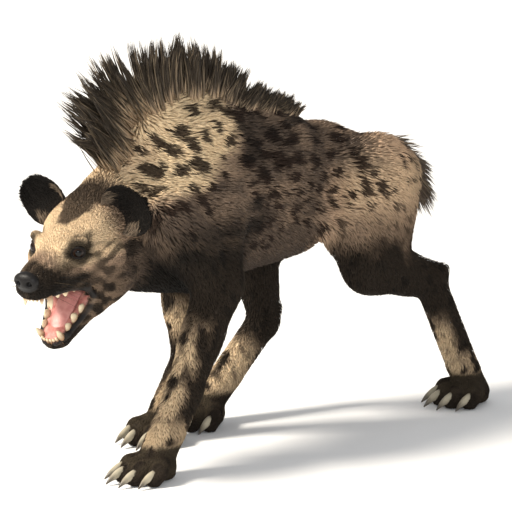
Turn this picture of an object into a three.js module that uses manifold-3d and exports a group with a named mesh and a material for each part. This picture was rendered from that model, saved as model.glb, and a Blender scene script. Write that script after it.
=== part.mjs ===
// A life-size spotted hyena in a low, snarling stride: head down and turned to its left, jaws open and mane
// raised. Millimetres, +Z up. The animal faces -Y and its left side is +X.
// Every bone and muscle is a tapered capsule or an ellipsoid. A smooth union of them is the outer face of the
// coat. That surface is drawn as triangles, thinned, and parted with thin cuts into the nodes.
import * as THREE from "three";
import { mergeVertices } from "three/addons/utils/BufferGeometryUtils.js";
import Module from "manifold-3d";

const wasm = await Module();
wasm.setup();
const { Manifold, Mesh: SolidMesh } = wasm;

// Driving dimensions
const GAP = 0.3;
const WITHERS_HEIGHT = 815;
const CHEST_HALF_WIDTH = 136;
const SHOULDER_HALF_WIDTH = 102;
const HIP_HALF_WIDTH = 88;
const HEAD_SCALE = 1.14;
const HEAD_YAW = 14;
const HEAD_PITCH = 11;
const GAPE = 32;
const EYE_RADIUS = 15.5;
const EAR_LENGTH = 104;
const EAR_WIDTH = 126;
const LID_THICKNESS = 4.5;
const CLAW_LENGTH = 54;
const FOREPAW_SIZE = 1.3;
const HIND_PAW_SIZE = 1.28;

const radians = THREE.MathUtils.degToRad;
const lerp = THREE.MathUtils.lerp;
const v = (x, y, z) => new THREE.Vector3(x, y, z);
const mix = (a, b, t) => a.clone().lerp(b, t);
const SIDES = { left: 1, right: -1 };

// Joints of the four legs, from the top down. y is 0 at the toes of the left forepaw and grows to the tail.
const FORE = {
  left: {
    blade: v(62, 255, 722),
    shoulder: v(SHOULDER_HALF_WIDTH + 8, 148, 560),
    elbow: v(124, 266, 400),
    wrist: v(120, 164, 182),
    ball: v(122, 74, 42),
    toes: -4,
  },
  right: {
    blade: v(-62, 262, 722),
    shoulder: v(-SHOULDER_HALF_WIDTH, 176, 560),
    elbow: v(-100, 362, 424),
    wrist: v(-92, 392, 182),
    ball: v(-112, 324, 42),
    toes: 8,
  },
};
const HIND = {
  left: {
    hip: v(HIP_HALF_WIDTH, 792, 560),
    knee: v(126, 736, 378),
    hock: v(126, 938, 294),
    ball: v(128, 1064, 42),
    toes: -3,
  },
  right: {
    hip: v(-HIP_HALF_WIDTH, 792, 560),
    knee: v(-116, 606, 426),
    hock: v(-124, 654, 214),
    ball: v(-148, 492, 42),
    toes: 8,
  },
};

// The signed distance to a smooth union of shapes, in one frame.
const smoothMin = (a, b, k) => {
  const h = Math.max(k - Math.abs(a - b), 0) / k;
  return Math.min(a, b) - (h * h * k) / 4;
};

class Flesh {
  constructor() {
    this.shapes = [];
  }

  // A tapered capsule from a to b. flat is its half width across x over its half depth.
  bone(a, b, ra, rb, { flat = 1, blend = 26 } = {}) {
    const d = b.clone().sub(a);
    const reach = d.length() / 2 + Math.max(ra, rb) * Math.max(1, flat);
    this.shapes.push({ a, d, ra, rb, flat, blend, c: mix(a, b, 0.5), reach, size: d.lengthSq() || 1 });
    return this;
  }

  // An ellipsoid, turned about x by tilt degrees.
  lump(c, rx, ry, rz, { tilt = 0, blend = 26 } = {}) {
    const [cos, sin] = [Math.cos(radians(tilt)), Math.sin(radians(tilt))];
    this.shapes.push({ c, rx, ry, rz, cos, sin, blend, reach: Math.max(rx, ry, rz) });
    return this;
  }

  at(x, y, z) {
    let nearest = 1e6;
    for (const s of this.shapes) {
      const [cx, cy, cz] = [x - s.c.x, y - s.c.y, z - s.c.z];
      if (Math.sqrt(cx * cx + cy * cy + cz * cz) - s.reach > nearest + s.blend) continue;
      let near;
      if (s.d) {
        const [px, py, pz] = [x - s.a.x, y - s.a.y, z - s.a.z];
        const t = Math.min(1, Math.max(0, (px * s.d.x + py * s.d.y + pz * s.d.z) / s.size));
        const [qx, qy, qz] = [(px - t * s.d.x) / s.flat, py - t * s.d.y, pz - t * s.d.z];
        near = (Math.sqrt(qx * qx + qy * qy + qz * qz) - lerp(s.ra, s.rb, t)) * Math.min(1, s.flat);
      } else {
        const [ux, uy, uz] = [cx / s.rx, (cy * s.cos + cz * s.sin) / s.ry, (cz * s.cos - cy * s.sin) / s.rz];
        const k = Math.sqrt(ux * ux + uy * uy + uz * uz);
        const g = Math.sqrt((ux / s.rx) ** 2 + (uy / s.ry) ** 2 + (uz / s.rz) ** 2);
        near = g > 1e-9 ? (k * (k - 1)) / g : -Math.min(s.rx, s.ry, s.rz);
      }
      nearest = smoothMin(nearest, near, s.blend);
    }
    return nearest;
  }
}

// Trunk, neck and the roots of the limbs
const body = new Flesh()
  .bone(v(0, 235, 575), v(0, 520, 572), 168, 150, { flat: CHEST_HALF_WIDTH / 168, blend: 40 })
  .bone(v(0, 165, 490), v(0, 300, 442), 100, 84, { flat: 0.95, blend: 40 })
  .bone(v(0, 380, 472), v(0, 612, 476), 92, 84, { flat: 0.95, blend: 40 })
  .bone(v(0, 200, WITHERS_HEIGHT - 82), v(0, 345, WITHERS_HEIGHT - 76), 74, 62, { flat: 0.78, blend: 40 })
  .lump(v(0, 265, WITHERS_HEIGHT - 50), 44, 115, 50, { tilt: -2, blend: 40 })
  .bone(v(0, 330, 726), v(0, 560, 670), 70, 64, { flat: 1.15, blend: 40 })
  .bone(v(0, 520, 596), v(0, 700, 572), 128, 108, { flat: 0.86, blend: 40 })
  .bone(v(0, 700, 594), v(0, 850, 556), 84, 66, { flat: 1.2, blend: 40 })
  .bone(v(0, 36, 542), v(0, 200, 622), 96, 124, { flat: 0.84, blend: 40 })
  .bone(v(0, 62, 592), v(0, 195, 728), 58, 70, { flat: 0.8, blend: 40 })
  .bone(v(0, 40, 480), v(0, 190, 502), 70, 104, { flat: 0.84, blend: 40 });

// A foreleg: shoulder blade, upper arm with its triceps, forearm and pastern
for (const [name, side] of Object.entries(SIDES)) {
  const { blade, shoulder, elbow, wrist, ball } = FORE[name];
  const point = elbow.clone().add(v(0, 34, 22));
  body
    .bone(blade, shoulder, 56, 74, { flat: 0.6, blend: 34 })
    .bone(shoulder, elbow, 76, 60, { flat: 0.72, blend: 30 })
    .bone(mix(blade, elbow, 0.42).add(v(side * 22, 34, 0)), point, 70, 32, { flat: 0.6, blend: 30 })
    .bone(elbow, mix(elbow, wrist, 0.55), 57, 49, { flat: 0.88, blend: 18 })
    .bone(mix(elbow, wrist, 0.45), wrist, 50, 43, { flat: 0.9, blend: 14 })
    .bone(wrist, ball, 43, 42, { flat: 0.95, blend: 12 });
}

// A hind leg: thigh, hamstrings, fold of the flank, shank, point of the hock and metatarsus
for (const [name, side] of Object.entries(SIDES)) {
  const { hip, knee, hock, ball } = HIND[name];
  const seat = hip.clone().add(v(-side * 22, 80, -22));
  const point = hock.clone().add(v(0, 30, 24));
  body
    .bone(hip, knee, 106, 64, { flat: 0.62, blend: 36 })
    .bone(seat, mix(knee, hock, 0.22).add(v(0, 12, 8)), 80, 60, { flat: 0.7, blend: 34 })
    .bone(v(side * 84, mix(hip, knee, 0.8).y - 110, 500), knee, 56, 54, { flat: 0.6, blend: 34 })
    .bone(knee, mix(knee, hock, 0.6), 60, 46, { flat: 0.85, blend: 22 })
    .bone(mix(knee, hock, 0.5), hock, 46, 38, { flat: 0.85, blend: 14 })
    .bone(mix(knee, hock, 0.35).add(v(0, 14, 10)), point, 42, 21, { flat: 0.8, blend: 14 })
    .bone(point, hock, 22, 36, { flat: 0.9, blend: 12 })
    .bone(hock, ball, 38, 39, { flat: 0.9, blend: 12 });
}

// The head has a frame of its own: x to its left, -y out of the nose, +z up, and its origin between the jaw
// joints. Both halves are alike, so the shapes are those of the left half. The last ones are brow and lip.
const skull = new THREE.Object3D();
skull.position.set(5, -33, 500);
skull.rotation.set(radians(HEAD_PITCH), 0, radians(HEAD_YAW), "ZYX");
skull.scale.setScalar(HEAD_SCALE);
skull.updateMatrixWorld(true);
const toHead = skull.matrixWorld.clone().invert();
const headPoint = (x, y, z) => v(x, y, z).applyMatrix4(skull.matrixWorld);
const headWay = (x, y, z) => v(x, y, z).transformDirection(skull.matrixWorld);

const EYE = v(45, -80, 45);
const GAZE = v(0.62, -0.76, 0.12);
const cranium = new Flesh()
  .lump(v(0, 20, 38), 60, 72, 54)
  .bone(v(0, -14, 72), v(0, 62, 72), 28, 36)
  .lump(v(38, 6, 50), 34, 54, 40)
  .bone(v(0, 55, 40), v(0, 110, 40), 68, 84, { flat: 0.95, blend: 36 })
  .lump(v(0, -54, 50), 44, 46, 36)
  .bone(v(56, -70, 12), v(72, -2, 8), 18, 26, { blend: 22 })
  .lump(v(58, -2, -30), 30, 52, 54, { blend: 22 })
  .bone(v(0, -74, 22), v(0, -168, 12), 43, 31, { flat: 0.96, blend: 20 })
  .bone(v(0, -70, 56), v(0, -178, 30), 18, 17, { flat: 1.2, blend: 16 })
  .bone(v(17, -174, 4), v(37, -92, -4), 19, 23, { blend: 12 })
  .lump(v(0, -184, 4), 28, 16, 19, { blend: 10 })
  .lump(v(0, -196, 27), 27, 15, 18, { blend: 6 })
  .bone(v(23, -97, 58), v(53, -71, 63), 11, 10.5, { blend: 16 })
  .bone(v(34, -98, 30), v(60, -70, 26), 9, 12, { blend: 10 })
  .bone(v(42, -92, -8), v(50, -54, -20), 15, 16, { blend: 14 })
  .bone(v(14, -182, -8), v(31, -152, -11), 7, 6.5, { blend: 5 })
  .bone(v(31, -152, -11), v(43, -104, -17), 6.5, 7, { blend: 5 })
  .bone(v(43, -104, -17), v(52, -72, -32), 7, 7, { blend: 6 })
  .bone(v(52, -72, -32), v(52, -50, -60), 7, 6.5, { blend: 8 });

// The hollow of the open mouth, under the palate
const palate = new Flesh().bone(v(0, -160, -28), v(0, -64, -34), 18, 30, { flat: 1.15 });

// The lower jaw, drawn shut, and turned about the jaw joints by the gape
const mandible = new Flesh()
  .lump(v(0, -168, -38), 25, 24, 18, { blend: 14 })
  .bone(v(16, -164, -40), v(40, -70, -44), 15, 22, { blend: 14 })
  .bone(v(40, -70, -46), v(56, -4, -50), 24, 40, { blend: 18 })
  .bone(v(0, -140, -50), v(0, -30, -58), 14, 36, { flat: 1.3, blend: 18 })
  .lump(v(54, -20, -34), 28, 46, 44, { blend: 20 })
  .bone(v(12, -184, -30), v(28, -162, -31), 6.5, 6, { blend: 5 })
  .bone(v(28, -162, -31), v(44, -96, -33), 6, 6.5, { blend: 5 })
  .bone(v(44, -96, -33), v(52, -75, -25), 6.5, 6.5, { blend: 6 });

const [gapeCos, gapeSin] = [Math.cos(radians(GAPE)), Math.sin(radians(GAPE))];
const jawPoint = (x, y, z) => headPoint(x, y * gapeCos - z * gapeSin, y * gapeSin + z * gapeCos);
const jawWay = (x, y, z) => headWay(x, y * gapeCos - z * gapeSin, y * gapeSin + z * gapeCos);

function headAt(x, y, z) {
  const p = v(x, y, z).applyMatrix4(toHead);
  const side = Math.abs(p.x);
  const upper = -smoothMin(-cranium.at(side, p.y, p.z), palate.at(side, p.y, p.z), 8);
  const lower = mandible.at(side, p.y * gapeCos + p.z * gapeSin, p.z * gapeCos - p.y * gapeSin);
  return smoothMin(upper, lower, 10) * HEAD_SCALE;
}

// The core of the tail, hanging down and back
const TAIL = [v(0, 866, 592), v(0, 926, 584), v(0, 968, 553), v(0, 988, 514)];
body.bone(TAIL[0], TAIL[1], 34, 25, { flat: 0.9, blend: 16 });
body.bone(TAIL[1], TAIL[2], 25, 21, { blend: 12 });
body.bone(TAIL[2], TAIL[3], 21, 13, { blend: 12 });

// A paw: its pad and four toes. The two middle toes reach furthest.
const TOES = [
  { across: -38, ahead: 38 },
  { across: -14, ahead: 58 },
  { across: 14, ahead: 58 },
  { across: 38, ahead: 38 },
];
const pawFrame = (ball, turn) => (across, ahead, z) =>
  v(ball.x, ball.y, z).add(v(across, -ahead, 0).applyAxisAngle(v(0, 0, 1), radians(turn)));

function addPaw(flesh, ball, turn, size) {
  const at = pawFrame(ball, turn);
  flesh.lump(at(0, 4, 28), 42 * size, 35 * size, 32, { blend: 14 });
  flesh.lump(at(0, -12, 11), 30 * size, 24 * size, 16, { blend: 10 });
  for (const { across, ahead } of TOES) {
    const [root, knuckle, tip] = [
      at(across * 0.7 * size, 10, 38),
      at(across * size, (ahead - 14) * size, 30),
      at(across * 1.06 * size, ahead * size, 14),
    ];
    flesh.bone(root, knuckle, 16 * size, 16 * size, { blend: 7 });
    flesh.bone(knuckle, tip, 16 * size, 14.5 * size, { blend: 7 });
  }
}

const PAWS = {};
for (const name of Object.keys(SIDES)) {
  PAWS["forepaw_" + name] = { limb: FORE[name], above: FORE[name].wrist, size: FOREPAW_SIZE };
  PAWS["hind_paw_" + name] = { limb: HIND[name], above: HIND[name].hock, size: HIND_PAW_SIZE };
}
for (const paw of Object.values(PAWS)) addPaw(body, paw.limb.ball, paw.limb.toes, paw.size);

const fleshAt = (x, y, z) => smoothMin(body.at(x, y, z), headAt(x, y, z), 30);

// Marching tetrahedra: the surface where the field is zero, as a closed triangle mesh
const CUBE = [[0, 1, 3, 7], [0, 3, 2, 7], [0, 2, 6, 7], [0, 6, 4, 7], [0, 4, 5, 7], [0, 5, 1, 7]];

function polygonise(at, low, high, cell) {
  const count = [0, 1, 2].map((i) => Math.ceil((high.getComponent(i) - low.getComponent(i)) / cell) + 1);
  const [nx, ny, nz] = count;
  const values = new Float32Array(nx * ny * nz);
  const index = (i, j, k) => (k * ny + j) * nx + i;
  for (let k = 0; k < nz; k++)
    for (let j = 0; j < ny; j++)
      for (let i = 0; i < nx; i++) {
        const edge = i === 0 || j === 0 || k === 0 || i === nx - 1 || j === ny - 1 || k === nz - 1;
        const d = edge ? cell : at(low.x + i * cell, low.y + j * cell, low.z + k * cell);
        values[index(i, j, k)] = Math.abs(d) < 0.02 ? 0.02 : d;
      }
  const points = [];
  const triangles = [];
  const known = new Map();
  const place = (n) => [low.x + (n % nx) * cell, low.y + (Math.floor(n / nx) % ny) * cell,
    low.z + Math.floor(n / (nx * ny)) * cell];
  const crossing = (a, b) => {
    const [lo, hi] = a < b ? [a, b] : [b, a];
    const key = lo * values.length + hi;
    if (!known.has(key)) {
      const t = values[lo] / (values[lo] - values[hi]);
      const [p, q] = [place(lo), place(hi)];
      known.set(key, points.length / 3);
      points.push(p[0] + (q[0] - p[0]) * t, p[1] + (q[1] - p[1]) * t, p[2] + (q[2] - p[2]) * t);
    }
    return known.get(key);
  };
  const face = (a, b, c) => triangles.push(a, b, c);
  for (let k = 0; k < nz - 1; k++)
    for (let j = 0; j < ny - 1; j++)
      for (let i = 0; i < nx - 1; i++) {
        const corners = [0, 1, 2, 3, 4, 5, 6, 7].map((c) =>
          index(i + (c & 1), j + ((c >> 1) & 1), k + (c >> 2)));
        const inside = corners.filter((n) => values[n] < 0).length;
        if (inside === 0 || inside === 8) continue;
        for (const tetra of CUBE) {
          const [a, b, c, d] = tetra.map((n) => corners[n]);
          const code = (values[a] < 0) + 2 * (values[b] < 0) + 4 * (values[c] < 0) + 8 * (values[d] < 0);
          marchTetra(code, a, b, c, d, crossing, face);
        }
      }
  return { points, triangles };
}

function marchTetra(code, a, b, c, d, crossing, face) {
  if (code === 0 || code === 15) return;
  const turned = code > 7;
  const few = turned ? 15 - code : code;
  const outward = (p, q, r) => {
    if (turned) face(p, r, q);
    else face(p, q, r);
  };
  const one = (p, q, r, s) => outward(crossing(p, q), crossing(p, r), crossing(p, s));
  const two = (p, q, r, s) => {
    const [pr, ps, qs, qr] = [crossing(p, r), crossing(p, s), crossing(q, s), crossing(q, r)];
    outward(pr, ps, qs);
    outward(pr, qs, qr);
  };
  if (few === 1) one(a, b, c, d);
  else if (few === 2) one(b, a, d, c);
  else if (few === 4) one(c, a, b, d);
  else if (few === 3) two(a, b, c, d);
  else if (few === 5) two(c, a, b, d);
  else if (few === 6) two(b, c, a, d);
  else one(d, a, b, c);
}

// Thins a closed mesh by quadric edge collapse until it has about the stated number of triangles
function thin({ points, triangles }, target) {
  const faces = triangles.slice();
  const count = points.length / 3;
  const around = Array.from({ length: count }, () => []);
  const quadric = new Float64Array(count * 10);
  const stamp = new Uint32Array(count);
  const p = (i) => v(points[3 * i], points[3 * i + 1], points[3 * i + 2]);
  const normal = (a, b, c) => b.clone().sub(a).cross(c.clone().sub(a));
  let left = faces.length / 3;
  for (let f = 0; f < left; f++) {
    const ids = [faces[3 * f], faces[3 * f + 1], faces[3 * f + 2]];
    const n = normal(p(ids[0]), p(ids[1]), p(ids[2]));
    const area = n.length() || 1e-9;
    n.divideScalar(area);
    const w = -n.dot(p(ids[0]));
    const q = [n.x * n.x, n.x * n.y, n.x * n.z, n.x * w, n.y * n.y, n.y * n.z, n.y * w];
    q.push(n.z * n.z, n.z * w, w * w);
    for (const i of ids) {
      around[i].push(f);
      for (let m = 0; m < 10; m++) quadric[10 * i + m] += q[m] * area;
    }
  }
  const errorAt = (q, { x, y, z }) =>
    q[0] * x * x + 2 * q[1] * x * y + 2 * q[2] * x * z + 2 * q[3] * x + q[4] * y * y + 2 * q[5] * y * z +
    2 * q[6] * y + q[7] * z * z + 2 * q[8] * z + q[9];
  const best = (a, b) => {
    const q = Array.from({ length: 10 }, (_, m) => quadric[10 * a + m] + quadric[10 * b + m]);
    const middle = p(a).lerp(p(b), 0.5);
    const m3 = new THREE.Matrix3().set(q[0], q[1], q[2], q[1], q[4], q[5], q[2], q[5], q[7]);
    let at = middle;
    if (Math.abs(m3.determinant()) > 1e-4 * (q[0] + q[4] + q[7]) ** 3) {
      at = v(-q[3], -q[6], -q[8]).applyMatrix3(m3.invert());
      if (at.distanceTo(middle) > 2 * p(a).distanceTo(p(b))) at = middle;
    }
    return { at, cost: Math.max(0, errorAt(q, at)) + 1e-3 * p(a).distanceToSquared(p(b)) };
  };
  const heap = [];
  const swap = (i, j) => ([heap[i], heap[j]] = [heap[j], heap[i]]);
  const push = (a, b) => {
    heap.push({ a, b, stamps: stamp[a] + ":" + stamp[b], ...best(a, b) });
    for (let i = heap.length - 1; i > 0; ) {
      const up = (i - 1) >> 1;
      if (heap[up].cost <= heap[i].cost) break;
      swap(i, up);
      i = up;
    }
  };
  const pop = () => {
    swap(0, heap.length - 1);
    const top = heap.pop();
    for (let i = 0; ; ) {
      let low = i;
      for (const kid of [2 * i + 1, 2 * i + 2])
        if (kid < heap.length && heap[kid].cost < heap[low].cost) low = kid;
      if (low === i) return top;
      swap(i, low);
      i = low;
    }
  };
  const neighbours = (i) => {
    const found = new Set();
    for (const f of around[i]) for (const n of [0, 1, 2]) found.add(faces[3 * f + n]);
    found.delete(i);
    return found;
  };
  for (let i = 0; i < count; i++) for (const n of neighbours(i)) if (i < n) push(i, n);
  const turns = (i, other, at) =>
    around[i].some((f) => {
      const ids = [faces[3 * f], faces[3 * f + 1], faces[3 * f + 2]];
      if (ids.includes(other)) return false;
      const was = normal(...ids.map(p));
      const is = normal(...ids.map((n) => (n === i ? at : p(n))));
      return was.dot(is) < 0.2 * was.length() * is.length();
    });
  while (left > target && heap.length) {
    const { a, b, stamps, at } = pop();
    if (stamps !== stamp[a] + ":" + stamp[b] || !around[a].length || !around[b].length) continue;
    const [na, nb] = [neighbours(a), neighbours(b)];
    if (!na.has(b) || [...na].filter((n) => nb.has(n)).length !== 2) continue;
    if (turns(a, b, at) || turns(b, a, at)) continue;
    const gone = around[b].filter((f) => around[a].includes(f));
    for (const f of gone)
      for (const n of [0, 1, 2]) {
        const i = faces[3 * f + n];
        around[i] = around[i].filter((g) => g !== f);
      }
    for (const f of around[b])
      for (const n of [0, 1, 2]) if (faces[3 * f + n] === b) faces[3 * f + n] = a;
    around[a].push(...around[b]);
    around[b] = [];
    for (let m = 0; m < 10; m++) quadric[10 * a + m] += quadric[10 * b + m];
    points.splice(3 * a, 3, at.x, at.y, at.z);
    left -= 2;
    stamp[a]++;
    stamp[b]++;
    for (const n of neighbours(a)) push(a, n);
  }
  const used = new Map();
  const kept = { points: [], triangles: [] };
  const live = new Set(around.flat());
  for (const f of live)
    for (const n of [0, 1, 2]) {
      const i = faces[3 * f + n];
      if (!used.has(i)) {
        used.set(i, used.size);
        kept.points.push(points[3 * i], points[3 * i + 1], points[3 * i + 2]);
      }
      kept.triangles.push(used.get(i));
    }
  return kept;
}

const solidOf = ({ points, triangles }) =>
  new Manifold(
    new SolidMesh({
      numProp: 3,
      vertProperties: new Float32Array(points),
      triVerts: new Uint32Array(triangles),
    }),
  );

function solidFrom(geometry) {
  const bare = geometry.index ? geometry.toNonIndexed() : geometry.clone();
  bare.deleteAttribute("normal");
  bare.deleteAttribute("uv");
  const merged = mergeVertices(bare, 1e-3);
  return solidOf({ points: [...merged.attributes.position.array], triangles: [...merged.index.array] });
}

const largest = (solid) => solid.decompose().sort((a, b) => b.volume() - a.volume())[0];

// A half space is a point on its face and the way to its inside. A region is where its half spaces meet.
const room = (point, into) => ({ point, into: into.clone().normalize() });
function region(halves, grow) {
  let block = solidFrom(new THREE.BoxGeometry(2400, 2400, 2400).translate(0, 400, 500));
  for (const { point, into } of halves) block = block.trimByPlane(into.toArray(), into.dot(point) - grow);
  return block;
}

// Takes a region out of what is left of the body, with half of the gap on either side of the cut
let rest;
function carve(halves) {
  const piece = largest(rest.intersect(region(halves, -GAP / 2)));
  rest = largest(rest.subtract(region(halves, GAP / 2)));
  return piece;
}

// A closed tube of flat sections along a path, ending in a point where its last size is 0
function spike(path, wide, thick, across, sides = 4) {
  const curve = new THREE.CatmullRomCurve3(path);
  const rings = wide.length;
  const points = [];
  const triangles = [];
  for (let r = 0; r < rings; r++) {
    const t = r / (rings - 1);
    const centre = curve.getPoint(t);
    const along = curve.getTangent(t);
    const a = across.clone().addScaledVector(along, -across.dot(along)).normalize();
    const b = along.clone().cross(a);
    if (wide[r] === 0) {
      points.push(...centre.toArray());
      continue;
    }
    for (let s = 0; s < sides; s++) {
      const turn = (2 * Math.PI * s) / sides;
      const spot = centre.clone()
        .addScaledVector(a, (Math.cos(turn) * thick[r]) / 2)
        .addScaledVector(b, (Math.sin(turn) * wide[r]) / 2);
      points.push(...spot.toArray());
    }
  }
  const tip = wide[rings - 1] === 0;
  const full = tip ? rings - 1 : rings;
  for (let r = 0; r + 1 < full; r++)
    for (let s = 0; s < sides; s++) {
      const [i, j] = [r * sides + s, r * sides + ((s + 1) % sides)];
      triangles.push(i, j, i + sides, j, j + sides, i + sides);
    }
  for (let s = 1; s + 1 < sides; s++) triangles.push(0, s + 1, s);
  const last = (full - 1) * sides;
  for (let s = 0; s < sides; s++) if (tip) triangles.push(last + s, last + ((s + 1) % sides), last + sides);
  if (!tip) for (let s = 1; s + 1 < sides; s++) triangles.push(last, last + s, last + s + 1);
  return solidOf({ points, triangles });
}

// The whole body is drawn once, coarsely, and the head and paws again on finer grids
const whole = polygonise(fleshAt, v(-260, -60, -40), v(260, 1200, 900), 9);
rest = solidOf(thin(whole, 2600)).trimByPlane([0, 0, 1], 0);
const nodes = {};

// The head and the neck part behind the ears, the jaw and the head along the closed corner of the mouth
const HEAD_REGION = [
  room(headPoint(0, 76, 0), headWay(0, -1, 0.1)),
  room(v(0, 0, 340), v(0, -0.3, 1)),
];
rest = largest(rest.subtract(region(HEAD_REGION, GAP / 2)));
const drawn = polygonise(fleshAt, headPoint(-140, -250, -180), headPoint(170, 110, 130), 4);
const head = largest(solidOf(thin(drawn, 1700)).intersect(region(HEAD_REGION, -GAP / 2)));
const bisector = headWay(0, -Math.sin(radians(GAPE / 2 + 4)), -Math.cos(radians(GAPE / 2 + 4)));
const JAW_REGION = [
  room(headPoint(0, 0, -4), bisector),
  room(headPoint(0, 22, 0), headWay(0, -1, -0.25)),
];
nodes.jaw = largest(head.intersect(region(JAW_REGION, -GAP / 2)));
nodes.head = largest(head.subtract(region(JAW_REGION, GAP / 2)));

// Each paw parts from its leg below the wrist or the hock
for (const [name, { limb, above }] of Object.entries(PAWS)) {
  const side = Math.sign(limb.ball.x);
  const way = limb.ball.clone().sub(above).normalize();
  const cut = mix(above, limb.ball, name.startsWith("hind") ? 0.72 : 0.5);
  const halves = [
    room(cut, way),
    room(v(0, limb.ball.y + 70, 0), v(0, -1, 0)),
    room(v(0, limb.ball.y - 122, 0), v(0, 1, 0)),
    room(v(0, 0, 0), v(side, 0, 0)),
  ];
  const near = limb.ball.clone().sub(v(95, 125, 50));
  const far = limb.ball.clone().add(v(95, 75, 130));
  const paw = solidOf(thin(polygonise(fleshAt, near, far, 4.5), 300)).trimByPlane([0, 0, 1], 0);
  nodes[name] = largest(paw.intersect(region(halves, -GAP / 2)));
  rest = largest(rest.subtract(region(halves, GAP / 2)));
}

nodes.tail = carve([
  room(mix(TAIL[0], TAIL[1], 0.7), v(0, 0.94, -0.34)),
  room(v(60, 0, 0), v(-1, 0, 0)),
  room(v(-60, 0, 0), v(1, 0, 0)),
  room(v(0, 0, 420), v(0, 0, 1)),
]);

// Limbs, from the paws up: forearm and upper arm, shank and thigh
for (const [name, side] of Object.entries(SIDES)) {
  const fore = FORE[name];
  const hind = HIND[name];
  const outside = room(v(0, 0, 0), v(side, 0, 0));
  nodes["forearm_" + name] = carve([
    outside,
    room(fore.elbow.clone().add(v(0, 0, -40)), fore.wrist.clone().sub(fore.elbow)),
    room(v(0, fore.elbow.y + 90, 0), v(0, -1, 0)),
  ]);
  nodes["metatarsus_" + name] = carve([
    outside,
    room(hind.hock.clone().add(v(0, 0, -16)), hind.ball.clone().sub(hind.hock)),
    room(v(0, hind.ball.y - 70, 0), v(0, 1, 0)),
    room(hind.hock.clone().add(v(0, 0, 40)), v(0, 0, -1)),
  ]);
  nodes["shank_" + name] = carve([
    outside,
    room(mix(hind.knee, hind.hock, 0.22), hind.hock.clone().sub(hind.knee)),
    room(hind.knee.clone().add(v(0, 60, 36)), v(0, 0.15, -1)),
  ]);
  nodes["upper_arm_" + name] = carve([
    room(fore.elbow.clone().add(v(-side * 50, 0, 40)), v(side * 0.9, 0, -0.42)),
    room(fore.shoulder.clone().add(v(0, 0, 40)), v(0, -0.1, -1)),
    room(fore.elbow.clone().add(v(0, 110, 40)), v(0, -1, 0.1)),
  ]);
  nodes["thigh_" + name] = carve([
    room(v(side * 42, hind.hip.y, hind.hip.z - 80), v(side * 0.9, 0, -0.42)),
    room(hind.hip.clone().add(v(0, -150, 0)), v(0, 1, -0.2)),
    room(hind.hip.clone().add(v(0, 0, 40)), v(0, -0.1, -1)),
  ]);
}
// The neck and the loin lean away from the chest above the crest as the hair there does
const NECK_REGION = [room(v(0, 178, 790), v(0, -0.83, -0.56)), room(v(0, 178, 790), v(0, -0.94, 0.33))];
const LOIN_REGION = [room(v(0, 462, 772), v(0, 0.5, -0.86)), room(v(0, 462, 772), v(0, 1, 0.1))];
nodes.neck = carve(NECK_REGION);
nodes.rump = carve([room(v(0, 705, 600), v(0, 1, 0.1))]);
nodes.loin = carve(LOIN_REGION);
nodes.chest = rest;

// A repeatable draw of numbers from 0 to 1
let seed = 7;
function draw() {
  seed = (seed * 1103515245 + 12345) % 2147483648;
  return seed / 2147483648;
}
const spread = (amount) => (draw() * 2 - 1) * amount;

// A lock of hair: flat, tapered and bending towards sag, its root well inside
function lock(root, way, long, wide, sag) {
  const path = [-0.14, 0.22, 0.64, 1].map((t) =>
    root.clone().addScaledVector(way, long * t).addScaledVector(sag, long * 0.28 * Math.max(0, t) ** 2));
  const sizes = [0.9, 1, 0.7, 0];
  return spike(path, sizes.map((size) => size * wide), sizes.map((size) => size * wide * 0.3), v(1, 0, 0));
}

// The mane stands in rows along the crest. It leans forward on the neck and back behind the withers.
const MANE = [
  { y: 62, lean: 56, long: 175 },
  { y: 85, lean: 57, long: 256 },
  { y: 115, lean: 53, long: 284 },
  { y: 150, lean: 44, long: 264 },
  { y: 185, lean: 32, long: 206 },
  { y: 225, lean: 18, long: 180 },
  { y: 270, lean: 4, long: 168 },
  { y: 325, lean: -14, long: 148 },
  { y: 385, lean: -32, long: 126 },
  { y: 445, lean: -48, long: 104 },
  { y: 520, lean: -62, long: 78 },
  { y: 600, lean: -70, long: 60 },
];
const ROWS = { even: [-36, -12, 12, 36], odd: [-24, 0, 24] };
const STATION_STEP = 29;
const manes = { neck: [], chest: [], loin: [] };

function crestHeight(x, y) {
  let high = 900;
  while (fleshAt(x, y, high) > 0 && high > 500) high -= 6;
  return high;
}

function ownerOf(y) {
  if (y < 174) return "neck";
  return y < 458 ? "chest" : "loin";
}

let station = 0;
for (let along = 0; along < MANE.length - 1; ) {
  const [a, b] = [MANE[Math.floor(along)], MANE[Math.floor(along) + 1]];
  const [y, lean, long] = ["y", "lean", "long"].map((key) => lerp(a[key], b[key], along % 1));
  for (const x of station % 2 ? ROWS.odd : ROWS.even) {
    const tilt = radians(lean + spread(7));
    const way = v((x / 36) * 0.34 + spread(0.06), -Math.sin(tilt), Math.cos(tilt)).normalize();
    const root = v(x, y + spread(5), 0);
    root.z = crestHeight(root.x, root.y);
    const size = long * (1 - 0.16 * (Math.abs(x) / 36)) * (1 + spread(0.14));
    manes[ownerOf(y)].push(lock(root, way, size, 31 + spread(4), v(0, 0.7 * Math.sign(lean), -0.5)));
  }
  const rise = crestHeight(0, b.y) - crestHeight(0, a.y);
  along += STATION_STEP / Math.hypot(b.y - a.y, rise);
  station++;
}
for (const name of Object.keys(manes)) nodes[name] = nodes[name].add(Manifold.union(manes[name]));
nodes.neck = nodes.neck.intersect(region(NECK_REGION, -GAP / 2));
nodes.loin = nodes.loin.intersect(region(LOIN_REGION, -GAP / 2));
nodes.chest = nodes.chest.subtract(region(NECK_REGION, GAP / 2)).subtract(region(LOIN_REGION, GAP / 2));
for (const name of Object.keys(manes)) nodes[name] = largest(nodes[name]);

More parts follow.
